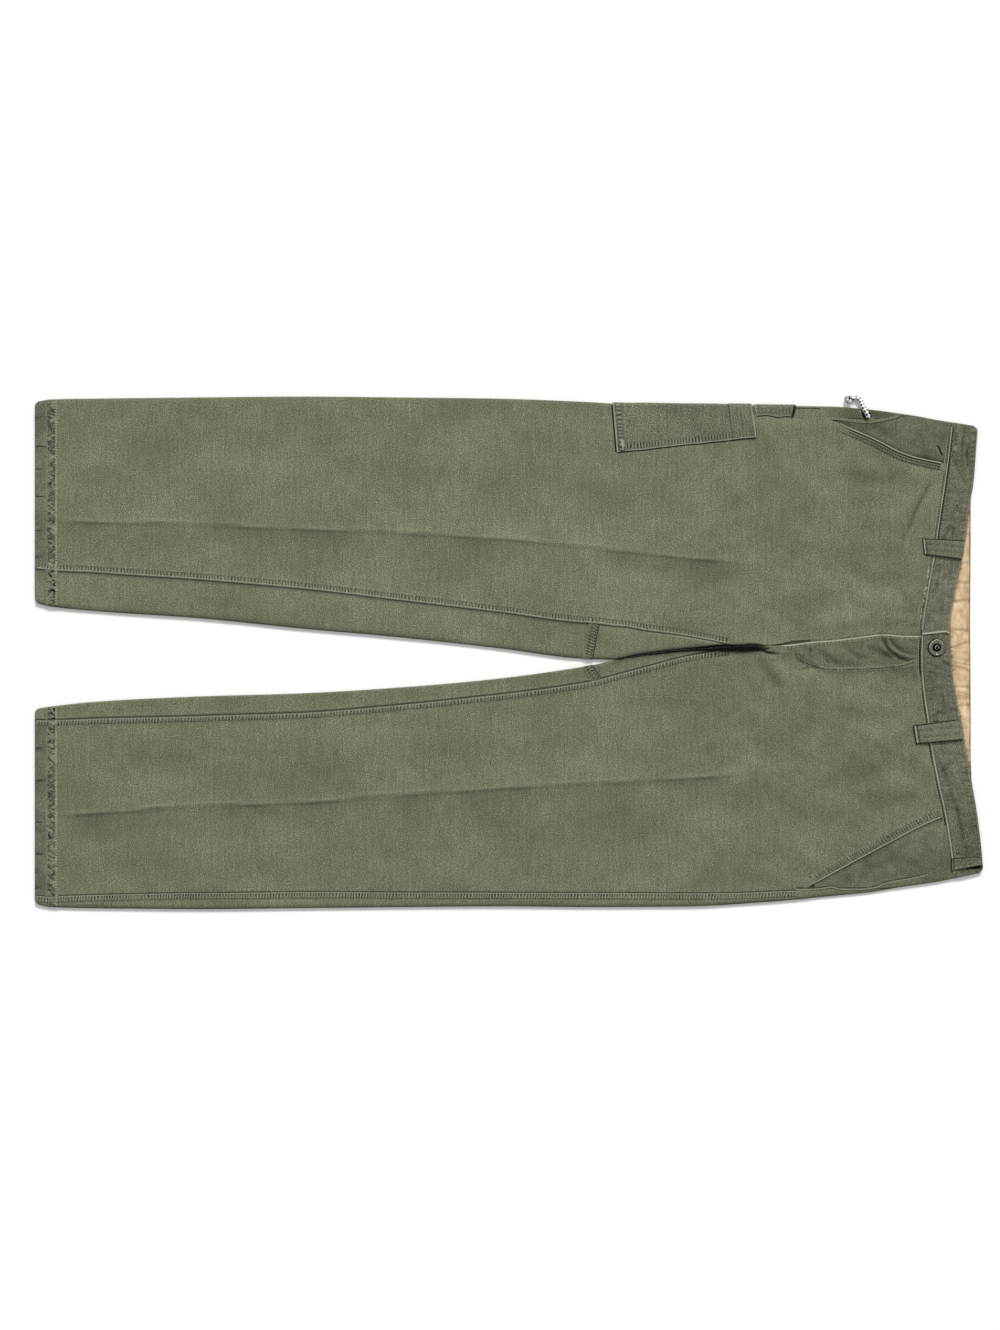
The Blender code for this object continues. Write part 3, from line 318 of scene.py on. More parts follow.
def readTable(table, column, at):
    # one column of a table, on a smooth curve that never overshoots its rows
    x = np.array(table["at"], float)
    y = np.array(table[column], float)
    steep = np.diff(y) / np.diff(x)
    slope = np.empty_like(y)
    slope[0], slope[-1] = steep[0], steep[-1]
    if len(x) > 2:
        both = steep[:-1] * steep[1:]
        total = np.where(np.abs(steep[:-1] + steep[1:]) < 1e-12, 1.0, steep[:-1] + steep[1:])
        slope[1:-1] = np.where(both > 0, 2 * both / total, 0.0)
    at = np.clip(at, x[0], x[-1])
    i = np.clip(np.searchsorted(x, at, side="right") - 1, 0, len(x) - 2)
    span = x[i + 1] - x[i]
    t = (at - x[i]) / span
    return (y[i] + slope[i] * span * t * (1 - t) ** 2 + (y[i + 1] - y[i]) * t * t * (3 - 2 * t)
            - slope[i + 1] * span * t * t * (1 - t))


def ease(low, high, at):
    t = np.clip((at - low) / (high - low), 0.0, 1.0)
    return t * t * (3 - 2 * t)


def swing(turn):
    # a wave between 0 and 1
    return 0.5 + 0.5 * np.sin(turn)


def beads(at, drift=0):
    # 1 at every stitch of a row and 0 between them
    return 0.5 + 0.5 * np.cos(2 * math.pi * at / stitch["pitch"] + drift)


def pairs(first, second):
    return np.stack([first, second], axis=-1)


def unit(ways):
    return ways / np.maximum(np.linalg.norm(ways, axis=1), 1e-9)[:, None]


def lengthsAlong(points):
    # how far each point of a line is from its start
    return np.concatenate([[0], np.cumsum(np.linalg.norm(np.diff(points, axis=0), axis=1))])


def spotsAt(at, reach, points):
    # the places on a line at given lengths
    return np.stack([np.interp(at, reach, points[:, k]) for k in range(3)], axis=-1)


def window(at, first, full, last, end):
    # 1 between two places, with eased ends
    return ease(first, full, at) * (1 - ease(last, end, at))


def bell(at, middle, wide, power=2):
    # 1 at the middle and falling away on both sides; a higher power gives a flatter top
    return np.exp(-((at - middle) / wide) ** power)


def rumple(u, v, seed):
    # smooth random values from -1 to 1 on a grid of unit cells
    table = np.random.default_rng(seed).uniform(-1, 1, (cellCount, cellCount))
    i, j = np.floor(u).astype(int), np.floor(v).astype(int)
    s, t = u - i, v - j
    s, t = s * s * (3 - 2 * s), t * t * (3 - 2 * t)
    i, j, nextI, nextJ = i % cellCount, j % cellCount, (i + 1) % cellCount, (j + 1) % cellCount
    near = table[i, j] * (1 - s) + table[nextI, j] * s
    return near * (1 - t) + (table[i, nextJ] * (1 - s) + table[nextI, nextJ] * s) * t


def crumple(along, across, seed, size):
    # washed cloth: swells of a given size, and the sharper creases between them
    shifted = along + 0.7 * size * rumple(along / (2.3 * size), across / (2.3 * size), seed + 3)
    first = rumple(shifted / (1.5 * size), across / size, seed)
    second = rumple(shifted / (0.7 * size) + 9, across / (0.5 * size) + 4, seed + 1)
    where = rumple(along / (3 * size), across / (2 * size), seed + 2)
    return 0.6 * first + 0.3 * second, bell(first, 0, 0.16) * ease(-0.1, 0.5, where)


def nearLine(along, across, points):
    # distance from a line on the pattern sheet, and how far along it the nearest place is
    x, y = np.array(points, float).T
    line = pairs((x - drawn["hem"]) * drawn["unit"], (drawn["middle"] - y) * drawn["unit"])
    lengths = np.linalg.norm(np.diff(line, axis=0), axis=1)
    best, reach, done = np.full(along.shape, 1e9), np.zeros(along.shape), 0.0
    for k, length in enumerate(lengths):
        stepAlong, stepAcross = line[k + 1] - line[k]
        t = ((along - line[k, 0]) * stepAlong + (across - line[k, 1]) * stepAcross) / length**2
        t = np.clip(t, 0.0, 1.0)
        away = np.hypot(along - line[k, 0] - t * stepAlong, across - line[k, 1] - t * stepAcross)
        nearer = away < best
        best = np.where(nearer, away, best)
        reach = np.where(nearer, (done + t * length) / lengths.sum(), reach)
        done += length
    return best, reach


def wrinkleField(along, across, looks, table=None):
    # the sum of the narrow folds' heights, or of the painted shade in them
    total = np.zeros_like(along)
    for wide, height, dark, points in wrinkles if table is None else table:
        value = dark if looks else height
        if not value:
            continue
        xs, ys = [x for x, _ in points], [y for _, y in points]
        x, y = along / drawn["unit"] + drawn["hem"], drawn["middle"] - across / drawn["unit"]
        margin = 3 * wide / drawn["unit"]
        close = (x > min(xs) - margin) & (x < max(xs) + margin) & (y > min(ys) - margin) & (
            y < max(ys) + margin)
        if not close.any():
            continue
        away, reach = nearLine(along[close], across[close], points)
        fade = (0.25 + 0.75 * ease(0.0, 0.3, reach)) * (0.2 + 0.8 * (1 - ease(0.65, 1.0, reach)))
        spread = wide * (0.75 if looks else 1.0)
        total[close] += value * fade * bell(away, 0, spread)
    return total


def hollow(along, across):
    # how far across from the groove's middle, and its half width
    high, low = readTable(groove, "high", along), readTable(groove, "low", along)
    return across - (high + low) / 2, (high - low) / 2


def grooveLift(along, across):
    aside, half = hollow(along, across)
    started = window(along, *groove["sinks"])
    return -0.8 * readTable(groove, "deep", along) * started * bell(aside, 0, 1.25 * half + 1.4)


# painted shadow in the hollow where the legs meet, and a softer painted shade below its low side
def grooveShade(along, across):
    aside, half = hollow(along, across)
    started = window(along, *groove["darkens"])
    sharp = bell(np.abs(aside), 0, half + 0.35, 6)
    soft = 0.34 * bell(np.maximum(-aside - half, 0), 0, 3.4) * (aside < 0)
    return readTable(groove, "paintedShadow", along) * started * np.maximum(sharp, soft)


# some of these are painted shade, as the first, under the hollow where the legs meet
broadTones = (  # darker and paler places: along, across, their reach each way, and how dark
    ((812, -18, 46, 14), 0.2), ((807, 36, 46, 17), -0.13), ((640, 120, 130, 60), -0.05),
    ((430, -190, 170, 50), 0.04), ((860, -75, 60, 32), -0.1), ((670, 200, 65, 18), -0.14),
    ((310, 155, 42, 24), -0.15), ((490, -92, 36, 14), -0.09), ((490, 115, 32, 13), -0.09),
    ((600, 286, 90, 14), 0.13), ((130, 286, 70, 12), 0.08), ((690, -280, 55, 16), 0.12),
    ((1008, 204, 26, 20), 0.2), ((880, 76, 50, 18), -0.13), ((1000, 72, 22, 18), 0.1),
    ((800, 260, 70, 18), -0.14), ((470, -215, 60, 30), -0.03), ((848, 171, 34, 14), -0.1),
    ((935, 124, 22, 14), -0.1), ((890, 32, 24, 12), 0.12), ((1002, -165, 28, 40), 0.08),
    ((950, -122, 20, 16), -0.08), ((75, -195, 60, 45), 0.07), ((1018, 38, 16, 36), -0.1),
)


clouds = {  # random tones: their length along, their width across, and a seed
    "broad": (62, 44, 71), "middle": (25, 21, 72), "fine": (11, 9, 73), "crinkle": (17, 5, 74),
    "streak": (44, 12, 76),
}


def cloud(kind, along, across):
    long, wide, seed = clouds[kind]
    return rumple(along / long, across / wide, seed)


def washedToneAndShade(along, across):
    # broad darker and paler places: the washed cloth's own uneven tone, with painted shade and the painted
    # light and shade of soft folds
    hip = ease(690.0, 880.0, along)
    broad = (0.7 + 0.3 * hip) * cloud("broad", along, across)
    broad += (0.28 + 0.32 * hip) * cloud("middle", along, across)
    fine = 0.5 * cloud("fine", along, across)
    tone = (0.085 + 0.06 * hip) * np.where(across < 0, 0.6, 0.8) * broad + (0.03 + 0.06 * hip) * fine
    tone = tone + 0.03 + 0.035 * hip + 0.045 * (across < 0)
    for place, deep in broadTones:
        aside = ((along - place[0]) / place[2]) ** 2 + ((across - place[1]) / place[3]) ** 2
        tone += deep * np.exp(-aside)
    # painted light and shade of crinkles and soft folds, drawn out along the leg and aslant over the hips
    lean = across + 0.5 * hip * (along - 880)
    crinkleShading = (0.03 + 0.06 * hip) * cloud("crinkle", along, lean)
    tone = tone + crinkleShading + 0.07 * hip * cloud("streak", along, lean)
    return 0.45 * np.maximum(-tone, 0), np.maximum(tone, 0)


def flyEdge(along):
    return readTable(fly, "edge", along)


def innerEdges(leg, along):
    side = leg["side"]
    fold = readTable(leg, "inner", along)
    front = side * readTable(meeting, "front", along) + crotch["meetingGap"]
    back = side * readTable(meeting, "back", along) + crotch["meetingGap"]
    edge = flyEdge(along)
    lapped = -edge if side < 0 else edge + readTable(fly, "under", along)
    front = np.where(along > fly["at"][0], lapped, front)
    low = along < meeting["at"][0]
    return np.where(low, fold, front), np.where(low, fold, back)


def section(leg, along):
    top, low = innerEdges(leg, along)
    hem = 1 - ease(wall["hemDepth"], wall["hemDepth"] + wall["hemStep"], along)
    height = wall["lie"] + hem * (wall["hemLie"] - wall["lie"])
    return {"outer": readTable(leg, "outer", along), "top": top, "low": low, "height": height,
            "roll": 1 - ease(*crotch["opens"], along)}


def bandSection(leg, along, end=None):
    low = innerEdges(leg, along)[1] if end is None else np.zeros_like(along) + end
    height = np.zeros_like(along) + waist["lie"]
    return {"outer": readTable(leg, "outer", along), "top": low, "low": low, "height": height,
            "roll": np.zeros_like(along)}


def quarter(sec):
    return math.pi * sec["height"] / 4


def topRun(sec):
    return 2 * quarter(sec) + sec["outer"] - sec["top"] - sec["height"]


def lowRun(sec):
    return 2 * quarter(sec) + sec["outer"] - sec["low"] - sec["height"]


def runFromFold(sec, distance):
    radius = sec["height"] / 2
    far = np.abs(distance)
    curved = radius * np.arccos(np.clip(1 - far / radius, -1, 1))
    return np.sign(distance) * np.where(far > radius, quarter(sec) + far - radius, curved)


def loopPoint(sec, run):
    top, low = topRun(sec), lowRun(sec)
    run = np.where(run < 0, run + top + low, run)
    run = np.where(run > top + low, run - top - low, run)
    upper = run <= top
    fromOuter = np.where(upper, run, top + low - run)
    fromInner = np.where(upper, top - run, run - top)
    inner = np.where(upper, sec["top"], sec["low"])
    radius = sec["height"] / 2
    outerTurn, innerTurn = fromOuter / radius, fromInner / radius
    atOuter = fromOuter < quarter(sec)
    atInner = ~atOuter & (fromInner < quarter(sec))
    out = np.where(atOuter, sec["outer"] - radius * (1 - np.cos(outerTurn)),
                   np.where(atInner, inner + radius * (1 - np.cos(innerTurn)),
                            sec["outer"] - radius - (fromOuter - quarter(sec))))
    share = np.where(atOuter, np.sin(outerTurn),
                     np.where(atInner, 1 - sec["roll"] * (1 - np.sin(innerTurn)), 1.0))
    return out, radius + np.where(upper, radius, -radius) * share, np.where(upper, share, 0.0)


def loopNormal(sec, run, slope):
    top = topRun(sec)
    before, after = run - wall["near"], run + wall["near"]
    after = np.where(run <= top, np.minimum(after, top), after)
    before = np.where(run > top, np.maximum(before, top + wall["near"] / 10), before)
    outA, upA, _ = loopPoint(sec, before)
    outB, upB, share = loopPoint(sec, after)
    turnOut = outB - outA
    turnUp = upB - upA + slope * turnOut * share
    size = np.maximum(np.hypot(turnOut, turnUp), 1e-9)
    return turnUp / size, -turnOut / size


def foldLift(along, across):
    # the laid cloth's own folds and slow swells, the same for every layer on top
    lift = np.zeros_like(along)
    for startAlong, startAcross, endAlong, endAcross, halfWidth, height in folds:
        stepAlong, stepAcross = endAlong - startAlong, endAcross - startAcross
        length = math.hypot(stepAlong, stepAcross)
        t = ((along - startAlong) * stepAlong + (across - startAcross) * stepAcross) / length**2
        side = ((along - startAlong) * stepAcross - (across - startAcross) * stepAlong) / length
        bow = 0.06 * length * np.sin(math.pi * np.clip(t, 0, 1))
        fade = window(t, -0.12, 0.3, 0.7, 1.12)
        lift += height * fade * bell(side, bow, halfWidth)
    for alongLength, acrossLength, phase, height in waves:
        turn = 2 * math.pi * (along / alongLength + across / acrossLength)
        lift += height * np.sin(turn + phase + 1.3 * np.sin(along / 170 + phase))
    calm = ease(0.0, 60.0, along) * (1 - ease(1010.0, 1052.0, along) * 0.75)
    creased = 1 + 0.8 * ease(760.0, 860.0, along)
    rumpled = 0.34 * rumple(along / 34, across / 26, 21) + 0.15 * rumple(along / 15, across / 12, 22)
    lift += creased * rumpled
    worked = ease(842.0, 862.0, along) * ease(-40.0, -30.0, across) * (1 - ease(18.0, 26.0, across))
    lift += worked * 0.5 * rumple(along / 7.5, across / 6.5, 23)
    lift = lift * calm * foldGain["broad"] + wrinkleField(along, across, False) * foldGain["narrow"]
    return np.where(lift < 0, foldGain["least"] * np.tanh(lift / foldGain["least"]), lift)


def slantOut(leg, along):
    return readTable(leg["slant"], "out", along)


def legLift(leg, along, out):
    # how far the top layer of a leg stands over its plain section
    side = leg["side"]
    reach = np.abs(out - readTable(leg, "crease", along)) / crease["reach"]
    fade = window(along, *crease["span"])
    under = (readTable(leg, "crease", along) - out) * side
    sharp = 0.5 * bell(reach * crease["reach"], 0, 3.0) - 0.35 * bell(under, 4, 3.0)
    lift = fade * (crease["rise"] * np.maximum(0.0, 1 - reach) ** 1.6 + sharp)
    inset = readTable(leg, "outer", along) - out
    flat = ease(*crotch["flattens"], along)
    quiet = flat + (1 - flat) * ease(1.0, 18.0, out - innerEdges(leg, along)[0] + 6.0)
    quiet *= ease(2.0, 26.0, inset)
    lift += foldLift(along, side * out) * quiet
    lapped = ease(*lap["steps"], along)
    if side > 0:
        past = out - flyEdge(along)
        lift -= lap["dip"] * lapped * (1 - ease(*lap["dipReach"], past))
        inside = readTable(leg["slant"], "out", along) - out
        start = leg["slant"]["at"][0]
        middle = np.sin(math.pi * ease(start + 10, 1062.0, along)) * (along > start)
        lift += mouth["gapeRise"] * middle * (1 - ease(0.0, mouth["gapeReach"], inside))
    else:
        inside = out + flyEdge(along)
        width = readTable(fly, "width", along)
        lift += lap["rise"] * lapped * (1 - ease(width, width + lap["ramp"], inside))
        inside = slantOut(leg, along) - out
        opened = ease(leg["slant"]["at"][0], leg["slant"]["at"][0] + 15, along)
        lift -= 0.75 * opened * (1 - ease(-2.0, 14.0, inside))
    lift += grooveLift(along, side * out)
    return np.where(lift < 0, lowest * np.tanh(lift / lowest), lift)


def fellSwell(leg, along, out):
    inside = out - readTable(leg, "inner", along) - readTable(leg, "strip", along)
    fade = (1 - ease(crotch["start"], crotch["end"], along)) * (along < crotch["end"])
    width = wall["fellWidth"]
    grow = wall["fellRise"] * fade * (1 - ease(1.0, width + 4, inside))
    start = leg["slant"]["at"][0]
    inside = readTable(leg["slant"], "out", along) - out
    opened = ease(start, start + 20, along)
    hem = mouth["hemRise"] * opened * (1 - ease(mouth["hem"] - 1, mouth["hem"] + 1, inside))
    return np.maximum(grow, hem)


def clothPoint(leg, along, run, above, sectionOf=section, liftOf=legLift, swellOf=fellSwell):
    # a point at a height over the cloth's outside, and its place: along, across, up
    sec = sectionOf(leg, along)
    out, up, share = loopPoint(sec, run)
    step = wall["near"]
    lift = liftOf(leg, along, out)
    slope = (liftOf(leg, along, out + step) - liftOf(leg, along, out - step)) / (2 * step)
    outward, upward = loopNormal(sec, run, slope)
    grow = above + (swellOf(leg, along, out) * share if swellOf else 0.0)
    up += share * lift
    return along, leg["side"] * (out + outward * grow), up + upward * grow


def outseamRun(leg, along):
    return readTable(leg, "outseam", along)


def inseamRun(leg, sec, along):
    strip = np.where(along <= crotch["end"], readTable(leg, "strip", along), 0.0)
    return topRun(sec) - runFromFold(sec, strip)


def lowStrip(along):
    narrowed = ease(crotch["narrows"], crotch["end"], along)
    return crotch["low"][0] + (crotch["low"][1] - crotch["low"][0]) * narrowed


def hemCorner(level, across):
    # the hem's corners are rounded
    out = np.abs(across)
    inner = np.where(across > 0, legs["right"]["inner"][0], legs["left"]["inner"][0])
    inset = np.minimum(legs["right"]["outer"][0] - out, out - inner)
    turned = np.clip(1 - inset / hemTurn["reach"], 0, 1) ** 2
    return hemTurn["depth"] * turned * (1 - ease(0.0, hemTurn["end"], level)) * (level < hemTurn["end"])


def toFrontSeam(level, across, column="frontSeam"):
    # rows straight across the leg bend to follow the waistband's seam higher up
    level = level + hemCorner(level, across)
    seam = readTable(band, column, across) - wall["gap"] / 2
    share = np.maximum(0.0, (level - bendLevel) / (fullLevel - bendLevel))
    return np.minimum(level, bendLevel) + share * (seam - bendLevel)


def toBackSeam(level, across):
    return toFrontSeam(level, across, "backSeam")


def plainCloth(along, out):
    hem = 1 - ease(wall["hemDepth"], wall["hemDepth"] + wall["hemStep"], along)
    return wall["cloth"] + hem * (wall["hemCloth"] - wall["cloth"])


def between(knots, cells):
    # the knots' own arrays have one column per point of the row
    columns = []
    for k, count in enumerate(cells):
        for n in range(count):
            j = len(columns)
            columns.append(knots[k][:, j] + (knots[k + 1][:, j] - knots[k][:, j]) * n / count)
    columns.append(knots[-1][:, -1])
    return np.stack(columns, axis=1)


def roundWall(leg, levels, alongOf, knotsOf, cells, clothOf=plainCloth, sectionOf=None,
              liftOf=legLift, bumpOf=None):
    # outer and inner points of a wall round the leg, as grids of along, across and up
    level = np.repeat(np.array(levels, float)[:, None], sum(cells) + 1, axis=1)
    along = alongOf(level, np.zeros_like(level))
    for _ in range(4):
        sec = sectionOf(leg, along, level) if sectionOf else section(leg, along)
        knots = [np.broadcast_to(knot, along.shape) for knot in knotsOf(sec, along, level)]
        run = between(knots, cells)
        out, up, share = loopPoint(sec, run)
        along = alongOf(level, leg["side"] * out)
    lift = liftOf(leg, along, out) if liftOf else np.zeros_like(along)
    slope = np.zeros_like(along)
    if liftOf:
        step = wall["near"]
        slope = (liftOf(leg, along, out + step) - liftOf(leg, along, out - step)) / (2 * step)
    outward, upward = loopNormal(sec, run, slope)
    up += share * lift
    grow = bumpOf(leg, along, out, run, share) if bumpOf else 0.0
    thick = clothOf(along, out)
    side = leg["side"]
    outer = (along, side * (out + outward * grow), up + upward * grow)
    inner = (along, side * (out - outward * thick), up - upward * thick)
    return {"outer": outer, "inner": inner, "run": run, "out": out, "share": share, "sec": sec}


def gridFaces(columns, kept, offset):
    i, j = np.nonzero(kept)
    a = i * (columns + 1) + j + offset
    return np.stack([a, a + columns + 1, a + columns + 2, a + 1], axis=1)


def volume(points, faces):
    total = 0.0
    for part in faces:
        for k in range(1, part.shape[1] - 1):
            a, b, c = points[part[:, 0]], points[part[:, k]], points[part[:, k + 1]]
            total += float((a * np.cross(b, c)).sum())
    return total


def keepMesh(name, points, faces, material, values=None, cloth=None, sharp=40):
    used = np.unique(np.concatenate([face.ravel() for face in faces]))
    place = np.full(len(points), -1)
    place[used] = np.arange(len(used))
    way = -1 if volume(points, faces) < 0 else 1
    quads = [place[face][:, ::way].tolist() for face in faces]
    mesh = bpy.data.meshes.new(name)
    mesh.from_pydata(points[used].tolist(), [], [ring for part in quads for ring in part])
    for key, value in (values or {}).items():
        mesh.attributes.new(key, "FLOAT", "POINT").data.foreach_set("value", value[used].astype(np.float32))
    if cloth is not None:
        corner = np.empty(len(mesh.loops), np.int32)
        mesh.loops.foreach_get("vertex_index", corner)
        layer = mesh.uv_layers.new(name="cloth")
        layer.data.foreach_set("uv", (cloth[used][corner] * mm).astype(np.float32).ravel())
    mesh.shade_smooth()
    mesh.set_sharp_from_angle(angle=math.radians(sharp))
    mesh.materials.append(material)
    piece = bpy.data.objects.new(name, mesh)
    bpy.context.scene.collection.objects.link(piece)
    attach(piece, "root")
    return piece


def sewWall(name, grids, material, wornAndHighlight, shaded, kept=None):
    # a closed wall between the outer and the inner grid of points
    outer, inner = toWorld(*grids["outer"]), toWorld(*grids["inner"])
    rows, columns = outer.shape[0] - 1, outer.shape[1] - 1
    kept = np.ones((rows, columns), bool) if kept is None else kept
    count = (rows + 1) * (columns + 1)
    faces = [gridFaces(columns, kept, 0), gridFaces(columns, kept, count)[:, ::-1]]
    padded = np.pad(kept, 1)
    wide = columns + 1
    for rowStep, columnStep, first, second in (
        (0, -1, (0, 0), (1, 0)), (1, 0, (1, 0), (1, 1)), (0, 1, (1, 1), (0, 1)), (-1, 0, (0, 1), (0, 0)),
    ):
        beside = padded[1 + rowStep: rows + 1 + rowStep, 1 + columnStep: columns + 1 + columnStep]
        i, j = np.nonzero(kept & ~beside)
        a = (i + first[0]) * wide + j + first[1]
        b = (i + second[0]) * wide + j + second[1]
        faces.append(np.stack([b, a, a + count, b + count], axis=1))
    flat = pairs(grids["run"], grids["outer"][0]).reshape(-1, 2)
    looks = {key: np.append(np.broadcast_to(value, grids["run"].shape), np.zeros(count))
             for key, value in (("wornAndHighlight", wornAndHighlight), ("shaded", shaded))}
    points = np.concatenate([outer.reshape(-1, 3), inner.reshape(-1, 3)])
    faces = [face for face in faces if len(face)]
    return keepMesh(name, points, faces, material, looks, np.concatenate([flat, flat]))


# finishes
def newMaterial(name):
    material = bpy.data.materials.new(name)
    material.use_nodes = True
    nodes = material.node_tree.nodes
    return material, nodes, material.node_tree.links, nodes["Principled BSDF"]


def weaveGroup():
    # cloth from its colour, its worn places and painted highlights, and its painted shade and dark places:
    # colour, height and roughness over the surface
    group = bpy.data.node_groups.new("wovenCloth", "ShaderNodeTree")
    sockets = (
        ("Place", "INPUT", "NodeSocketVector"), ("Cloth", "INPUT", "NodeSocketColor"),
        ("Pale", "INPUT", "NodeSocketColor"), ("Dark", "INPUT", "NodeSocketColor"),
        ("WornAndHighlight", "INPUT", "NodeSocketFloat"), ("Shaded", "INPUT", "NodeSocketFloat"),
        ("Grain", "INPUT", "NodeSocketFloat"), ("Mottle", "INPUT", "NodeSocketFloat"),
        ("Color", "OUTPUT", "NodeSocketColor"), ("Height", "OUTPUT", "NodeSocketFloat"),
        ("Roughness", "OUTPUT", "NodeSocketFloat"),
    )
    for name, way, kind in sockets:
        group.interface.new_socket(name=name, in_out=way, socket_type=kind)
    nodes, links = group.nodes, group.links
    given, made = nodes.new("NodeGroupInput"), nodes.new("NodeGroupOutput")

    def noise(scale, stretch, detail, rough=0.5):
        turned = nodes.new("ShaderNodeMapping")
        turned.inputs["Scale"].default_value = stretch
        links.new(given.outputs["Place"], turned.inputs["Vector"])
        texture = nodes.new("ShaderNodeTexNoise")
        texture.inputs["Scale"].default_value = scale
        texture.inputs["Detail"].default_value = detail
        texture.inputs["Roughness"].default_value = rough
        links.new(turned.outputs["Vector"], texture.inputs["Vector"])
        return texture.outputs["Fac"]

    def feed(socket, value):
        if isinstance(value, (int, float, tuple)):
            socket.default_value = value
        else:
            links.new(value, socket)

    def sums(kind):
        def made(a, b):
            node = nodes.new("ShaderNodeMath")
            node.operation = kind
            feed(node.inputs[0], a)
            feed(node.inputs[1], b)
            return node.outputs[0]
        return made

    def spread(value, low, high):
        node = nodes.new("ShaderNodeMapRange")
        node.inputs["From Min"].default_value = low
        node.inputs["From Max"].default_value = high
        links.new(value, node.inputs["Value"])
        return node.outputs["Result"]

    def blend(kind, factor, a, b):
        node = nodes.new("ShaderNodeMix")
        node.data_type, node.blend_type = "RGBA", kind
        for number, value in ((0, factor), (6, a), (7, b)):
            feed(node.inputs[number], value)
        return node.outputs[2]

    kinds = ("ADD", "SUBTRACT", "MULTIPLY", "MINIMUM", "MAXIMUM")
    plus, minus, times, least, most = [sums(kind) for kind in kinds]
    warp = noise(1700.0, (1.0, 0.16, 1.0), 1.0)
    weft = noise(1500.0, (0.16, 1.0, 1.0), 1.0)
    speck = noise(780.0, (1.0, 1.0, 1.0), 2.0, 0.65)
    slub = noise(300.0, (0.1, 1.0, 1.0), 2.0)
    cloud = noise(16.0, (1.0, 0.7, 1.0), 3.0)
    patch = noise(75.0, (1.0, 1.0, 1.0), 3.0, 0.6)
    threads = plus(times(warp, 0.5), times(weft, 0.5))
    grain = plus(times(threads, 0.22), times(speck, 0.78))
    grain = plus(times(grain, 0.9), times(slub, 0.1))
    light = spread(grain, 0.3, 0.7)
    mottled = spread(plus(times(cloud, 0.7), times(patch, 0.3)), 0.36, 0.64)
    wornAndHighlight = times(given.outputs["WornAndHighlight"], plus(times(patch, 0.8), 0.6))
    fleck = times(minus(light, 0.5), given.outputs["Grain"])
    drift = times(minus(mottled, 0.5), given.outputs["Mottle"])
    tone = plus(plus(fleck, drift), 0.5)
    darken = times(spread(tone, 0.5, 0.0), 0.75)
    darker = blend("MIX", darken, given.outputs["Cloth"], given.outputs["Dark"])
    paler = blend("MIX", spread(tone, 0.5, 1.0), darker, given.outputs["Pale"])
    # pale for worn places and painted highlights, dark for painted shade
    paleWearAndHighlight = blend("MIX", least(wornAndHighlight, 1.0), paler, given.outputs["Pale"])
    shaded = blend("MIX", least(given.outputs["Shaded"], 1.0), paleWearAndHighlight, given.outputs["Dark"])
    # painted deepest shadow: past 1 the painted shade turns near black
    deepest = least(most(minus(given.outputs["Shaded"], 1.0), 0.0), 1.0)
    shaded = blend("MIX", deepest, shaded, (0.001, 0.001, 0.001, 1))
    links.new(shaded, made.inputs["Color"])
    height = plus(times(threads, 0.7), times(speck, 0.3))
    links.new(height, made.inputs["Height"])
    links.new(plus(times(light, -0.08), 0.95), made.inputs["Roughness"])
    return group


wovenCloth = weaveGroup()


def clothMaterial(name, color, pale, dark, grain=1.1, mottle=0.15, bump=0.4, sheen=0.07):
    material, nodes, links, shader = newMaterial(name)
    place = nodes.new("ShaderNodeUVMap")
    place.uv_map = "cloth"
    cloth = nodes.new("ShaderNodeGroup")
    cloth.node_tree = wovenCloth
    links.new(place.outputs["UV"], cloth.inputs["Place"])
    for key, value in (("Cloth", (*color, 1)), ("Pale", (*pale, 1)), ("Dark", (*dark, 1)), ("Grain", grain),
                       ("Mottle", mottle)):
        cloth.inputs[key].default_value = value
    for key, socket in (("wornAndHighlight", "WornAndHighlight"), ("shaded", "Shaded")):
        value = nodes.new("ShaderNodeAttribute")
        value.attribute_name = key
        links.new(value.outputs["Fac"], cloth.inputs[socket])
    relief = nodes.new("ShaderNodeBump")
    relief.inputs["Strength"].default_value = bump
    relief.inputs["Distance"].default_value = 0.0004
    links.new(cloth.outputs["Height"], relief.inputs["Height"])
    links.new(relief.outputs["Normal"], shader.inputs["Normal"])
    links.new(cloth.outputs["Color"], shader.inputs["Base Color"])
    links.new(cloth.outputs["Roughness"], shader.inputs["Roughness"])
    shader.inputs["Sheen Weight"].default_value = sheen
    shader.inputs["Sheen Roughness"].default_value = 0.6
    shader.inputs["Specular IOR Level"].default_value = 0.05
    return material


clothTones = {  # each cloth's own colour, its pale colour for rubbed places and painted highlights, and its dark colour for painted shade
    "canvas": ((0.1515, 0.1535, 0.0965), (0.38, 0.39, 0.285), (0.028, 0.03, 0.018)),
    "canvasBand": ((0.1115, 0.1135, 0.0745), (0.37, 0.38, 0.29), (0.016, 0.018, 0.01)),
    "canvasDeep": ((0.125, 0.127, 0.0825), (0.33, 0.34, 0.25), (0.02, 0.022, 0.013)),
    "canvasPocket": ((0.1195, 0.123, 0.0785), (0.37, 0.38, 0.28), (0.018, 0.02, 0.012)),
    "tanTwill": ((0.655, 0.485, 0.283), (0.8, 0.66, 0.46), (0.26, 0.16, 0.075), 0.5, 0.4),
}
canvas, canvasBand, canvasDeep, canvasPocket, twill = [
    clothMaterial(name, *tones) for name, tones in clothTones.items()]
print(len(clothTones), "cloths woven")


def objectNoise(nodes, links, scale, detail=2.0):
    place = nodes.new("ShaderNodeTexCoord")
    texture = nodes.new("ShaderNodeTexNoise")
    texture.inputs["Scale"].default_value = scale
    texture.inputs["Detail"].default_value = detail
    links.new(place.outputs["Object"], texture.inputs["Vector"])
    return texture.outputs["Fac"]


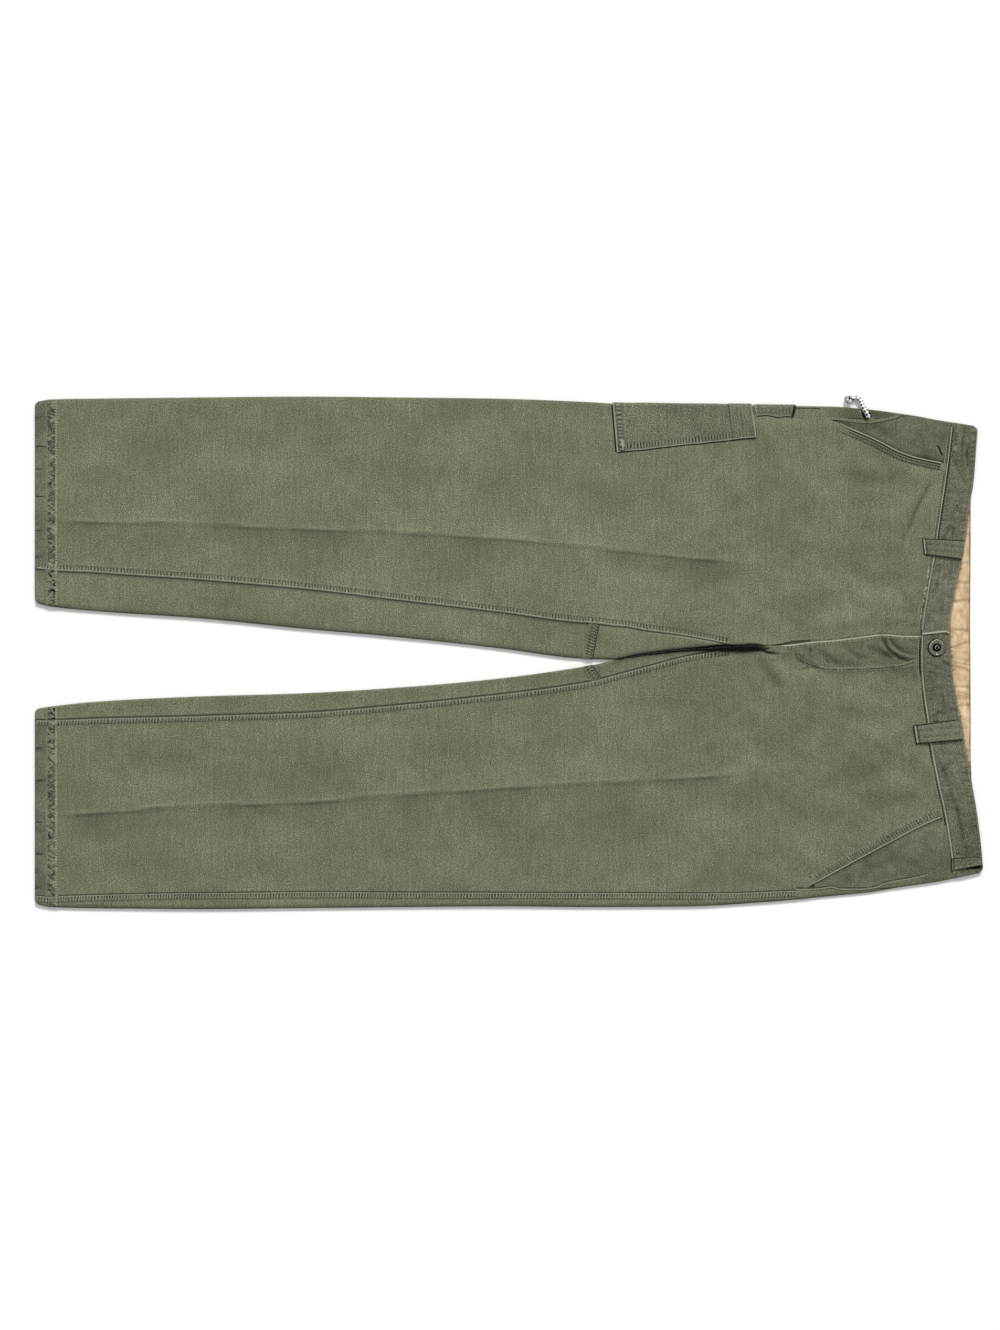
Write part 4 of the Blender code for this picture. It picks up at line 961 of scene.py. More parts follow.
def mixed(nodes, links, factor, first, second):
    mix = nodes.new("ShaderNodeMix")
    mix.data_type = "RGBA"
    mix.inputs[6].default_value = (*first, 1)
    mix.inputs[7].default_value = (*second, 1)
    links.new(factor, mix.inputs[0])
    return mix.outputs[2]


def threadMaterial(name, color, pale):
    material, nodes, links, shader = newMaterial(name)
    noise = objectNoise(nodes, links, 420.0)
    links.new(mixed(nodes, links, noise, color, pale), shader.inputs["Base Color"])
    shader.inputs["Roughness"].default_value = 0.75
    return material


threadOlive = threadMaterial("threadOlive", (0.15, 0.155, 0.105), (0.36, 0.37, 0.27))
threadPale = threadMaterial("threadPale", (0.28, 0.29, 0.21), (0.52, 0.53, 0.42))
threadTan = threadMaterial("threadTan", (0.42, 0.28, 0.14), (0.6, 0.44, 0.26))


# the legs' panels
levels = {
    "front": np.concatenate([np.arange(0, 30, 2.0), np.arange(30, 640, 4.4), np.arange(640, 852, 2.2),
                             np.arange(852.4, fullLevel, 1.8)[:-1], [fullLevel]]),
    "back": np.concatenate([np.arange(0, 30, 2.0), np.arange(30, 640, 6.1)[:-1],
                            [crotch["start"] - wall["gap"]], np.arange(652, fullLevel, 5.0), [fullLevel]]),
}
pinches = [(dice.uniform(-3, 3), dice.choice((0.1, 0.15, 0.25, 0.35)), dice.uniform(1.4, 3.0))
           for _ in range(26)]


hemLook = {  # its rubbed edge, and how the doubled margin and the very rim are darker
    "rub": 0.5, "rubReach": 2.5, "yarnTint": 0.17, "uneven": 0.12, "ends": (18.0, 26.0),
    "rim": 0.3, "rimReach": 2.2,
}


def hemPucker(along, out):
    # short pinches that run in from the hem's edge
    pinch = 0.0
    for k, (shift, deep, wide) in enumerate(pinches):
        place = 62 + 235 * (k + 0.5) / len(pinches) + shift
        pinch -= deep * bell(out - place, 0.15 * along, wide)
    return pinch * (1 - ease(2.0, 15.0, along)) * ease(-4.0, 1.5, along)


def creaseLooks(leg, along, out):
    # the pressed crease: painted highlight, with some rubbing, on its upper lit side, and painted shade and
    # a broad painted shadow under it
    side = leg["side"] * (out - readTable(leg, "crease", along))
    fade = window(along, *crease["span"])
    uneven = 0.75 + 0.35 * np.sin(along / 61.0 + 2 * np.sin(along / 23.0))
    side = side + 1.2 * np.sin(along / 37.0) + 0.6 * np.sin(along / 13.0)
    wornAndHighlight = 0.22 * fade * uneven * bell(side, 1.0, 1.6)
    shaded = 0.34 * fade * uneven * bell(side, -1.6, 1.5)
    shaded += 0.29 * fade * uneven * np.exp(-np.maximum(-side - 2, 0) / 14.0) * ease(1.0, 3.0, -side)
    return wornAndHighlight, shaded


def frontKnots(leg):
    def knots(sec, along, level):
        start = np.where(along > leg["slant"]["at"][0],
                         runFromFold(sec, sec["outer"] - slantOut(leg, along)), -99.0)
        start = np.maximum(outseamRun(leg, along), start) + wall["sideGap"] / 2
        end = inseamRun(leg, sec, along) - wall["gap"] / 2
        middle = runFromFold(sec, sec["outer"] - readTable(leg, "crease", along))
        near = np.maximum(start, quarter(sec)) + mouth["hem"] + 2
        ramp = np.full_like(along, wall["fellWidth"] + 4)
        rampEnd = ramp + lap["ramp"]
        if leg["side"] > 0:
            ramp = np.where(along > lap["steps"][0], lap["underlap"] + lap["dipReach"][0], ramp)
            rampEnd = np.where(along > lap["steps"][0], lap["underlap"] + lap["dipReach"][1], rampEnd)
        else:
            wide = np.maximum(readTable(fly, "width", along), ramp)
            ramp = np.where(along > lap["steps"][0], wide, ramp)
            rampEnd = ramp + lap["ramp"]
        return (start, near, middle - crease["reach"], middle,
                np.minimum(middle + crease["reach"], end - rampEnd - 4.0), end - rampEnd, end - ramp,
                end - wall["fellWidth"] - 1, end - wall["fellWidth"] + 1, end)
    return knots


def frontBump(leg, along, out, run, share):
    return (fellSwell(leg, along, out) + hemPucker(along, out)) * share


def makeFront(key):
    leg = legs[key]
    cells = (12, 16, 11, 12, 15, 5, 18, 2, 8)
    grids = roundWall(leg, levels["front"], toFrontSeam, frontKnots(leg), cells, bumpOf=frontBump)
    along, out = grids["outer"][0], grids["out"]
    edge = inseamRun(leg, grids["sec"], along) - grids["run"]
    wornAndHighlight, shaded = creaseLooks(leg, along, out)
    pale, dim = washedToneAndShade(along, leg["side"] * out)
    wornAndHighlight, shaded = wornAndHighlight + pale, shaded + dim
    wornAndHighlight += hemLook["rub"] * (1 - ease(0.0, hemLook["rubReach"], along)) * grids["share"]
    # painted shade in the ditch of the inseam
    shaded += 0.35 * bell(edge, 0, 0.8)
    # painted shade in the troughs of the hem's pinches
    shaded += 1.3 * np.clip(-hemPucker(along, out) - 0.05, 0, 1)
    margin = hemLook["yarnTint"] + hemLook["uneven"] * rumple(out / 7, along / 9, 75)
    shaded += margin * (1 - ease(*hemLook["ends"], along))
    shaded += hemLook["rim"] * bell(along, 0, hemLook["rimReach"])
    across = leg["side"] * out
    shaded = shaded + wrinkleField(along, across, True) + grooveShade(along, across)
    if leg["side"] < 0:
        # the fly's fold: pale from rubbing and painted highlight; the placket behind it a little darker
        lapped = ease(*lap["shows"], along)
        inside, width = out + flyEdge(along), readTable(fly, "width", along)
        wornAndHighlight += 0.9 * lapped * bell(inside, 0.4, 0.9)
        shaded += 0.25 * lapped * (1 - ease(width - 4, width + 1, inside))
    else:
        # painted shadow beside the fly's raised edge
        above = out - flyEdge(along)
        shaded += 0.9 * ease(850.0, 868.0, along) * (1 - ease(880.0, 930.0, along)) * bell(above, 1.0, 1.0)
        shaded += 0.3 * ease(905.0, 930.0, along) * bell(above, 0.8, 0.9)
    sewSolid(key + "_front", grids, "front_" + key, canvas, wornAndHighlight, shaded)


# pale rims beside the inseams: partly rubbed, partly painted highlight where the edge faces the light
sideRim = {"right": 0.55, "left": 0.15}


def innerShade(leg, along, grids):
    # painted shade where the folds turn away from the light: the right leg's inner fold, darkest where the
    # other leg lies against it, and the left leg's outer fold; with the cloth's broad tones
    closed = window(along, *crotch["closed"])
    fromFold = np.abs(topRun(grids["sec"]) - grids["run"])
    outerFold = topRun(grids["sec"]) + lowRun(grids["sec"])
    if leg["side"] < 0:
        fromFold, closed = np.abs(outerFold - grids["run"]), 0.0
    dim = 0.55 * bell(fromFold, 1.5, 3.4)
    return 1.2 * closed * bell(fromFold, 0, 2.0) + dim + washedToneAndShade(along, leg["side"] * grids["out"])[1]


def makeBack(key):
    leg = legs[key]
    cells = (10, 8, 1, 3, 14, 16)

    def knots(sec, along, level):
        top, low = topRun(sec), lowRun(sec)
        wide = top + wall["gap"] / 2
        wide += np.where(along <= crotch["end"], runFromFold(sec, lowStrip(along)), 0.0)
        before = along < crotch["start"]
        strip = (
            np.where(before, inseamRun(leg, sec, along) + wall["gap"] / 2, wide - 3.0),
            np.where(before, top - quarter(sec) - 0.5, wide - 2.0),
            np.where(before, top + quarter(sec) + 0.5, wide - 1.0),
        )
        pastFold = np.maximum(top + quarter(sec) + 0.5, wide + 1.0)
        last = top + low + outseamRun(leg, along) - wall["sideGap"] / 2
        near = np.minimum(top + low - quarter(sec) - 4.0, last - 6.0)
        return (*strip, wide, pastFold, near, last)

    def bump(leg, along, out, run, share):
        edge = run - inseamRun(leg, section(leg, along), along)
        return 0.3 * bell(edge, 0.8, 0.9) * share * (along < crotch["start"])

    grids = roundWall(leg, levels["back"], toBackSeam, knots, cells, bumpOf=bump)
    first = int(np.argmin(np.abs(levels["back"] - (crotch["start"] - wall["gap"]))))
    kept = np.ones((len(levels["back"]) - 1, sum(cells)), bool)
    kept[first:, : sum(cells[:3])] = False
    along = grids["outer"][0]
    edge = grids["run"] - inseamRun(leg, grids["sec"], along)
    wornAndHighlight = sideRim[key] * bell(edge, 1.0, 0.8) * grids["share"]
    shaded = grooveShade(along, leg["side"] * grids["out"]) * (grids["share"] > 0)
    # painted shade in the ditch of the inseam
    shaded += 0.7 * bell(edge, 0, 0.5) * (along < crotch["start"])
    if key == "right":
        near = topRun(grids["sec"]) + lowRun(grids["sec"]) + outseamRun(leg, along) - grids["run"]
        shaded += 0.36 * ease(912.0, 950.0, along) * (1 - ease(30.0, 40.0, near))
    shaded = shaded + innerShade(leg, along, grids)
    sewSolid(key + "_back", grids, "back_" + key, canvas, wornAndHighlight, shaded, kept)


def makeGusset(key):
    leg = legs[key]

    def knots(sec, along, level):
        top = topRun(sec)
        strip = runFromFold(sec, readTable(leg, "strip", along))
        low = runFromFold(sec, lowStrip(along))
        return (inseamRun(leg, sec, along) + wall["gap"] / 2,
                top - np.minimum(quarter(sec) + 0.5, strip * 0.8),
                top + np.minimum(quarter(sec) + 0.5, low * 0.8),
                top + low - wall["gap"] / 2)

    rows = np.concatenate([np.arange(crotch["start"], crotch["end"] - 2, 3.0),
                           [crotch["end"] - wall["gap"]]])
    grids = roundWall(leg, rows, toFrontSeam, knots, (14, 8, 3))
    along = grids["outer"][0]
    edge = grids["run"] - inseamRun(leg, grids["sec"], along)
    wornAndHighlight = sideRim[key] * bell(edge, 1.0, 0.8) * grids["share"]
    # painted shadow of the hollow, and painted shade in the ditch of the inseam
    shaded = grooveShade(along, leg["side"] * grids["out"]) + 0.6 * bell(edge, 0, 0.5)
    if key == "right":
        # painted shade where the right gusset turns under at its fold
        fromFold = np.abs(topRun(grids["sec"]) - grids["run"])
        shaded += 0.2 * bell(fromFold, 0, 4.0) * ease(652.0, 690.0, along)
    shaded = shaded + innerShade(leg, along, grids)
    sewSolid(key + "_gusset", grids, "gusset_" + key, canvas, wornAndHighlight, shaded)


def measured(grids, kept=None):
    # the cloth's own area in square metres, from the middle of its wall
    points = (toWorld(*grids["outer"]) + toWorld(*grids["inner"])) / 2
    a, b = points[1:, 1:] - points[:-1, :-1], points[1:, :-1] - points[:-1, 1:]
    cells = np.linalg.norm(np.cross(a, b), axis=-1) / 2
    return float(cells.sum() if kept is None else cells[kept].sum())


pieces = {}


def sewSolid(name, grids, node, material, wornAndHighlight, shaded, kept=None):
    # the cloth that is drawn in place of one of the solids
    piece = pieces[name] = sewWall(name, grids, material, wornAndHighlight, shaded, kept)
    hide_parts(node)
    print(name, "of", len(piece.data.polygons), "faces,", round(measured(grids, kept), 4), "square metres")


for key in ("right", "left"):
    makeFront(key)
    makeBack(key)
    makeGusset(key)


# fly placket and pocket facings
def flatWall(shares, alongOf, edgeA, edgeB, steps, lowOf, thick, bumpOf=None):
    level = np.repeat(np.array(shares, float)[:, None], steps + 1, axis=1)
    part = np.linspace(0, 1, steps + 1)[None, :]
    along = alongOf(level, np.zeros_like(level))
    for _ in range(4):
        across = edgeA(along) + (edgeB(along) - edgeA(along)) * part
        along = alongOf(level, across)
    low = lowOf(along, across)
    bump = bumpOf(level, along, across) if bumpOf else 0.0
    return {"outer": (along, across, low + thick + bump), "inner": (along, across, low),
            "run": across, "level": level}


placket = {"low": 886.0, "inset": 1.5, "gap": 1.0, "cells": 12, "cloth": 1.0}


def makePlacket():
    rows = np.append(np.arange(placket["low"], fullLevel - 2, 4.0), fullLevel)
    grids = flatWall(
        rows, toFrontSeam, lambda along: flyEdge(along) - placket["inset"],
        lambda along: flyEdge(along) - readTable(fly, "width", along) + placket["gap"], placket["cells"],
        lambda along, across: wall["lie"] - wall["cloth"] + foldLift(along, across), placket["cloth"])
    sewSolid("placket", grids, "fly_placket", canvasDeep, 0.0, 0.3)


def facingLift(key):
    reach = mouth[key]

    def lift(leg, along, out):
        inside = out - slantOut(leg, along)
        seam = readTable(leg, "outer", along) - np.maximum(outseamRun(leg, along), 0.0)
        room = np.maximum(seam - slantOut(leg, along), 1.0)
        low, high = np.minimum(1.0, room / 3), np.minimum(reach, room * 0.9)
        dip = mouth["dip"] * (1 - ease(low, high, inside))
        inset = readTable(leg, "outer", along) - out
        return foldLift(along, leg["side"] * out) * ease(2.0, 26.0, inset) - dip
    return lift


def makeFacing(key, first):
    leg = legs[key]

    def knots(sec, along, level):
        start = outseamRun(leg, along) + wall["sideGap"]
        opening = runFromFold(sec, sec["outer"] - slantOut(leg, along))
        near = np.maximum(start + 1.5, np.minimum(quarter(sec) + 0.6, opening - 2.0))
        return start, near, np.maximum(opening, near + 0.5), opening + mouth["underlap"]

    def bump(leg, along, out, run, share):
        # soft creases that run down from the waistband into the pocket
        ripple = np.sin(out / 5.1 + along / 60.0) * np.sin(along / 23.0 + out / 17.0)
        return 0.16 * ripple * share

    rows = np.append(np.arange(first, fullLevel - 2, 3.0), fullLevel)
    grids = roundWall(leg, rows, toFrontSeam, knots, (10, 26, 5), liftOf=facingLift(key), bumpOf=bump)
    along, out = grids["outer"][0], grids["out"]
    inside = out - slantOut(leg, along)
    # painted shade inside the pocket mouth, where the facing dips under the front
    deep = 0.55 * ease(948.0, 972.0, along) if key == "right" else 0.2
    shaded = deep * bell(np.maximum(inside, 0), 0, 3.0) * (inside > -2)
    pale, dim = washedToneAndShade(along + 40, leg["side"] * out)
    dim = dim + 0.14 * rumple(along / 7, out / 6, 77) + 0.08 * rumple(along / 15, out / 9, 78)
    shaded = shaded + (0.1 if key == "left" else 0.0) + np.maximum(dim, 0)
    shaded += wrinkleField(along, leg["side"] * out, True)
    if key == "right":
        # painted shadow above the mouth's high end, and in the slit round the cord's end
        shaded += 0.34 * ease(1000.0, 1036.0, along) * bell(np.maximum(inside, 0), 0, 9.0)
        shaded += np.exp(-((along - 967.6) / 1.3) ** 2 - ((out - 271.5) / 3.4) ** 2)
    wornAndHighlight = pale + 0.45 * np.maximum(-dim, 0)
    sewSolid(key + "_facing", grids, "pocket_facing_" + key, canvasDeep, wornAndHighlight, shaded)


makePlacket()
makeFacing("right", 930.0)
makeFacing("left", 905.0)


# waistband
def bandWave(along, across):
    # the band lies in slow swells with a few pulled places
    swell = 0.22 * np.sin(across / 37.0 + 0.6) + 0.16 * np.sin(across / 17.0 + 2.0 + along / 40.0)
    for place, wide, high in ((142.0, 7.0, -0.35), (98.0, 5.0, 0.3), (-118.0, 6.0, -0.3), (-60.0, 6.0, 0.3),
                              (196.0, 8.0, 0.3), (-186.0, 9.0, -0.3), (46.0, 5.0, -0.25)):
        swell += high * bell(across - place, 0.3 * (along - 1060), wide)
    return swell


bandFolds = [  # as the narrow folds above
    (2.6, -0.6, 0.4, [(951, 448), (955, 462), (960, 474), (965, 481), (972.5, 487)]),
    (3.4, 0.6, 0, [(947, 458), (952, 472), (958, 484), (966, 492)]),
    (3, 0.5, 0, [(957, 452), (962, 464), (969, 474)]),
    (2.4, -0.5, 0.5, [(966, 424), (963.5, 438), (961.5, 452), (963, 462)]),
    (2.2, -0.45, 0.5, [(970, 440), (967, 452), (967.5, 464)]),
    (2, -0.4, 0.45, [(953, 424), (955.5, 436), (955, 446)]),
    (2.4, -0.35, 0.4, [(951, 522), (947, 530), (944.5, 538)]),
    (1.9, -0.35, 0.4, [(955.5, 524), (953, 532), (951.5, 539)]),
    (1.9, -0.5, 0.4, [(940, 568), (938.5, 578), (936, 588), (934.5, 600)]),
    (1.9, -0.4, 0.3, [(946, 566), (943.5, 580), (941, 596), (937, 612)]),
    (1.6, 0.4, 0, [(943, 567), (941.2, 580), (938, 596)]),
    (2, -0.4, 0.3, [(951.5, 563), (949.5, 575), (947.5, 590)]),
    (2, -0.4, 0.3, [(931, 606), (929, 616), (928, 627)]),
    (2, -0.4, 0.25, [(943, 600), (940.5, 612), (938.5, 626)]),
    (3, -0.6, 0.42, [(945, 778), (951, 793), (957, 808), (963, 835), (966.5, 856)]),
    (3.4, 0.6, 0, [(941, 782), (949, 802), (957, 834), (960, 854)]),
    (2.4, -0.35, 0.35, [(936, 752), (944, 770), (951, 786)]),
    (2.2, -0.4, 0.5, [(925, 662), (931, 664), (940, 668)]),
    (2, -0.4, 0.5, [(926, 671), (933, 672), (937, 675)]),
    (2, -0.4, 0.45, [(943, 661), (948, 664), (951, 668)]),
    (2.2, -0.4, 0.4, [(930, 684), (938, 688), (946, 689)]),
    (2, -0.35, 0.4, [(927, 697), (934, 700)]),
    (2, -0.35, 0.35, [(931, 708), (938, 712), (946, 713)]),
    (2, -0.35, 0.35, [(938, 748), (944, 752), (950, 753)]),
]


def bandLift(leg, along, out):
    across = leg["side"] * out
    swell = bandWave(along, across) + wrinkleField(along, across, False, bandFolds)
    lift = swell * ease(1.0, 20.0, readTable(leg, "outer", along) - out)
    if leg["side"] < 0:
        lift += waist["tabRise"] * ease(waist["tabRamp"], waist["tabFlat"], across)
    return lift


def bandEnds(across):
    return readTable(band, "frontSeam", across) + wall["gap"] / 2, readTable(band, "frontTop", across)


def bandShare(along, across):
    low, top = bandEnds(across)
    return (along - low) / (top - low)


def alongBand(share, across):
    low, top = bandEnds(across)
    return low + share * (top - low)


def bandRipple(part, out):
    # puckers that run in from the band's two rows of stitches
    low = swing(out / 0.80 + 2.6 * np.sin(out / 8.3) + 1.5 * np.sin(out / 3.3) + 3 * part)
    high = swing(out / 0.95 + 2.2 * np.sin(out / 9.1 + 1) + 1.4 * np.sin(out / 4.2) - 4 * part)
    strong = 0.55 + 0.45 * np.sin(out / 21.0) * np.sin(out / 8.7 + 2)
    near, far = bell(part, 0.23, 0.09), bell(part, 0.88, 0.12)
    return 0.5 + strong * ((low - 0.5) * near + (high - 0.5) * far)


def pillow(share):
    # the band is a little fuller between its rows of stitches
    full = 0.35 * window(share, 0.0, 0.16, 0.84, 1.0)
    return full - 0.25 * bell(share, 0.055, 0.03) - 0.2 * bell(share, 0.95, 0.03)


def tabEdge(share):
    start, depth = waist["tabCorner"]
    turned = np.maximum(0.0, (share - start) / (1 - start)) ** 2
    low, high = waist["tabEnd"]
    return low + (high - low) * share - depth * turned


def onBand(key, share, across, above):
    leg = legs[key]
    along = alongBand(share, across)
    out = leg["side"] * across
    radius = waist["lie"] / 2
    inset = np.clip(readTable(leg, "outer", along) - out, 0, radius)
    up = radius + radius * np.sin(np.arccos(1 - inset / radius))
    return along, across + 0 * along, up + bandLift(leg, along, out) + pillow(share) + above


def cornerTurn(leg, along, out):
    # the waistband's ends are rounded where they fold back
    return 4.6 * np.clip(1 - (readTable(leg, "outer", along) - out) / 5.5, 0, 1) ** 2


def makeFrontBand(key):
    leg = legs[key]

    def alongOf(share, across):
        along = alongBand(share, across)
        return along - cornerTurn(leg, along, leg["side"] * across) * share**3

    def sectionOf(leg, along, share):
        return bandSection(leg, along, -tabEdge(share) if leg["side"] < 0 else waist["underlap"])

    def knots(sec, along, share):
        last = topRun(sec)
        return wall["gap"] / 2, quarter(sec) + 1.0, last - 62.0, last - 34.0, last

    def bump(leg, along, out, run, share):
        part = bandShare(along, leg["side"] * out)
        swell, fold = crumple(along, leg["side"] * out, 31, 5.5)
        held = window(part, 0.12, 0.24, 0.88, 0.98)
        crumpled = 0.42 * (swell - 0.5 * fold) * held
        return (pillow(part) + 0.5 * (bandRipple(part, out) - 0.5) + crumpled) * share

    rows = np.concatenate([[0.0, 0.012, 0.03], np.linspace(0.05, 0.95, 22), [0.97, 0.988, 1.0]])
    grids = roundWall(leg, rows, alongOf, knots, (6, 120, 22, 34),
                      lambda along, out: waist["cloth"] + 0 * along, sectionOf, bandLift, bump)
    along, out = grids["outer"][0], grids["out"]
    part = np.repeat(rows[:, None], along.shape[1], axis=1)
    uneven = 0.65 + 0.35 * np.sin(out / 9.0 + 2 * np.sin(out / 3.7))
    wornAndHighlight = 0.4 * uneven * bell(part, 0.99, 0.015)
    ripple = bandRipple(part, out)
    shaded = 0.6 * uneven * bell(part, 0.93, 0.02)
    # painted shade in the puckers' troughs and painted highlight on their ridges
    shaded += 0.9 * np.clip(0.5 - ripple, 0, 1)
    wornAndHighlight += 0.4 * np.clip(ripple - 0.5, 0, 1)
    # painted shade in the crumpled band's hollows and creases, and painted highlight on its swells
    swell, fold = crumple(along, leg["side"] * out, 31, 5.5)
    held = window(part, 0.03, 0.1, 0.92, 0.99)
    shaded += (0.45 * np.clip(-swell - 0.05, 0, 1) + 0.38 * fold) * held
    wornAndHighlight += 0.22 * np.clip(swell - 0.15, 0, 1) * held
    shaded += wrinkleField(along, leg["side"] * out, True, bandFolds)
    if leg["side"] > 0:
        wornAndHighlight += 0.09 * (1 - ease(80.0, 112.0, out))
        shaded *= 0.7 + 0.3 * ease(80.0, 112.0, out)
    if leg["side"] < 0:
        shaded += 0.12 * ease(160.0, 225.0, out)
        # painted shadow in the gap under the side loop
        loopGapShadow = ease(1079.0, 1083.0, along) * bell(out - 248.6 + 0.02 * (along - 1082), 0, 2.0, 4)
        shaded += 2.0 * loopGapShadow
    last = (topRun(grids["sec"]) - grids["run"]) * (leg["side"] < 0) + 99 * (leg["side"] > 0)
    wornAndHighlight += 1.3 * bell(last, 0.4, 1.4, 4)
    shaded = shaded * (1 - bell(last, 0, 2.0, 4)) + 0.4 * bell(last, 3.2, 0.8)
    sewSolid(key + "_band", grids, "waistband_front_" + key, canvasBand, wornAndHighlight, shaded)


def makeBackBand():
    places = np.array([0.0, 0.2, 0.4, 0.6, 0.8, 1.0, 1.02, 1.2, 1.6, 2.0])
    halves = {}

    def alongOf(place, across):
        low = readTable(band, "backSeam", across) + wall["gap"] / 2
        high = readTable(band, "backTop", across)
        step = high - waist["lipDepth"]
        along = np.where(place <= 1, low + (step - waist["lipStep"] - low) * place,
                         step + (high - step) * np.maximum(place - 1.02, 0) / 0.98)
        right = cornerTurn(legs["right"], along, across) * (across > 0)
        left = cornerTurn(legs["left"], along, -across) * (across < 0)
        return along - (right + left) * np.minimum(place, 1) ** 3

    def sectionOf(leg, along, place):
        return bandSection(leg, along)

    def knots(sec, along, place):
        top, low = topRun(sec), lowRun(sec)
        return (top + wall["gap"] / 2, top + quarter(sec) + 0.5, top + low - quarter(sec) - 4.0,
                top + low - wall["gap"] / 2)

    lip = places[:, None] > 1.01
    for key in ("right", "left"):
        leg = legs[key]

        def cloth(along, out, leg=leg):
            flat = ease(8.0, 14.0, readTable(leg, "outer", along) - out)
            rounded = 1 - 0.3 * (np.abs(places[:, None] - 1.5) * 2) ** 4
            thick = wall["cloth"] + (waist["lipHeight"] - wall["cloth"]) * flat * lip * rounded
            return thick + 0.1 * lip * flat * np.sin(out / 3.1 + 2 * np.sin(out / 11.0))

        halves[key] = roundWall(leg, places, alongOf, knots, (2, 90, 8), cloth, sectionOf, None)
    grids = {}
    for way in ("outer", "inner"):
        grids[way] = tuple(np.concatenate([left[:, ::-1], right[:, 0:]], axis=1) for left, right in
                           zip(halves["left"][way], halves["right"][way]))
    grids["run"] = grids["outer"][1]
    sewSolid("back_band", grids, "waistband_back", canvasBand, 0.0, 0.0)


tanBand = {"overSeam": 6.0, "intoLip": 1.4, "inset": 24.0, "cells": 300, "low": 1.5, "cloth": 1.0,
           "middle": 1070}


def makeBandFacing():
    def alongOf(share, across):
        low = readTable(band, "backSeam", across) + tanBand["overSeam"]
        high = readTable(band, "backTop", across) - waist["lipDepth"] + tanBand["intoLip"]
        return low + share * (high + 0.35 * np.sin(across / 5.3 + 2 * np.sin(across / 13.0)) - low)

    creases = [(dice.uniform(-150, 120), dice.uniform(0.8, 2.4), dice.uniform(-0.8, 0.45),
                dice.uniform(-0.22, 0.22)) for _ in range(34)]
    creases += [(59.5, 1.5, -1.3, 0.1), (27.0, 1.4, -0.9, -0.1), (8.0, 1.2, -0.8, 0.3),
                (-16.0, 1.4, -0.9, -0.3), (-62.0, 1.3, -0.8, 0.1), (-88.0, 1.2, -0.7, 0.1)]

    def bump(share, along, across):
        lift = 0.05 * np.sin(across / 6.0 + 2 * np.sin(across / 15.0)) - 0.3 * bell(share, 0.94, 0.02)
        for place, wide, high, lean in creases:
            lift += high * bell(across - place, lean * (along - tanBand["middle"]), wide)
        crumpled = 0.3 * rumple(across / 6.0, along / 4.0, 41)
        crumpled += 0.16 * rumple(across / 2.6, along / 3.0, 42)
        lift = (lift + crumpled) * (1 - ease(0.92, 0.96, share))
        lift = lift * ease(-0.02, 0.04, share) + 0.18 * (1 - ease(0.2, 0.8, share))
        return lift + 0.35 * ease(0.93, 0.96, share)

    rows = np.concatenate([np.linspace(0, 0.9, 34), np.linspace(0.915, 1.0, 9)])
    grids = flatWall(
        rows, alongOf, lambda along: readTable(legs["right"], "outer", along) - tanBand["inset"],
        lambda along: -readTable(legs["left"], "outer", along) + tanBand["inset"], tanBand["cells"],
        lambda along, across: tanBand["low"] + 0 * along, tanBand["cloth"], bump)
    share = grids["level"]
    along, across = grids["outer"][:2]
    dots = beads(across)
    shaded = 0.5 * dots * bell(share, 0.90, 0.02) + 0.95 * ease(0.968, 0.99, share)
    # painted shade in the crumples' hollows and painted highlight on their tops
    crumpled = rumple(across / 6.0, along / 4.0, 41)
    shaded += 0.3 * np.clip(-crumpled, 0, 1)
    wornAndHighlight = 0.6 * np.clip(crumpled, 0, 1) * (share < 0.95)
    # painted shadow along the front band's edge, which lies over the facing
    past = along - readTable(band, "frontTop", across)
    shaded += 0.85 * bell(past, 0.6, 1.3)
    ticks = np.clip(rumple(across / 1.5, along / 5.0, 43) - 0.25, 0, 1) * bell(past, 2.5, 3.0)
    shaded += 1.1 * ticks
    # painted shade in the creases' troughs and painted highlight on their ridges
    for place, wide, high, lean in creases:
        near = bell(across - place, lean * (along - tanBand["middle"]), 0.8 * wide)
        shaded, wornAndHighlight = shaded + 0.6 * max(-high, 0) * near, wornAndHighlight + 0.4 * max(high, 0) * near
    sewSolid("tan_facing", grids, "waistband_facing", twill, wornAndHighlight, shaded)


makeFrontBand("right")
makeFrontBand("left")
makeBackBand()
makeBandFacing()


# cargo pocket, and the tool pocket behind its mouth
patches = {
    "cargo": {"node": "cargo_pocket", "low": (675.7, 670.8, 232.8), "high": (837.6, 832.4, 250.4),
              "hem": 27.3, "rows": 210, "cells": (6, 34, 12)},
    "tool": {"node": "tool_pocket", "low": (838.0, 834.4, 275.4), "high": (879.6, 883.4, 274.6),
             "hem": 0.0, "rows": 64, "cells": (6, 8, 6)},
}


def patchEdge(patch, share):
    edge = patch["low"][2] + (patch["high"][2] - patch["low"][2]) * share
    if patch["hem"]:
        return edge + 0.35 * np.sin(share * 23.0) * np.sin(share * 9.0)
    return edge + 1.1 * np.sin(math.pi * share) * np.sin(share * 7.6) - 1.0 * ease(0.86, 1.0, share)


def patchAlong(patch, share, across):
    low, high = patch["low"], patch["high"]
    atInner = low[0] + (high[0] - low[0]) * share
    atOuter = low[1] + (high[1] - low[1]) * share
    edge = patchEdge(patch, share)
    fold = readTable(legs["right"], "outer", atInner)
    return atInner + (atOuter - atInner) * np.clip((across - edge) / (fold - edge), 0, 1)


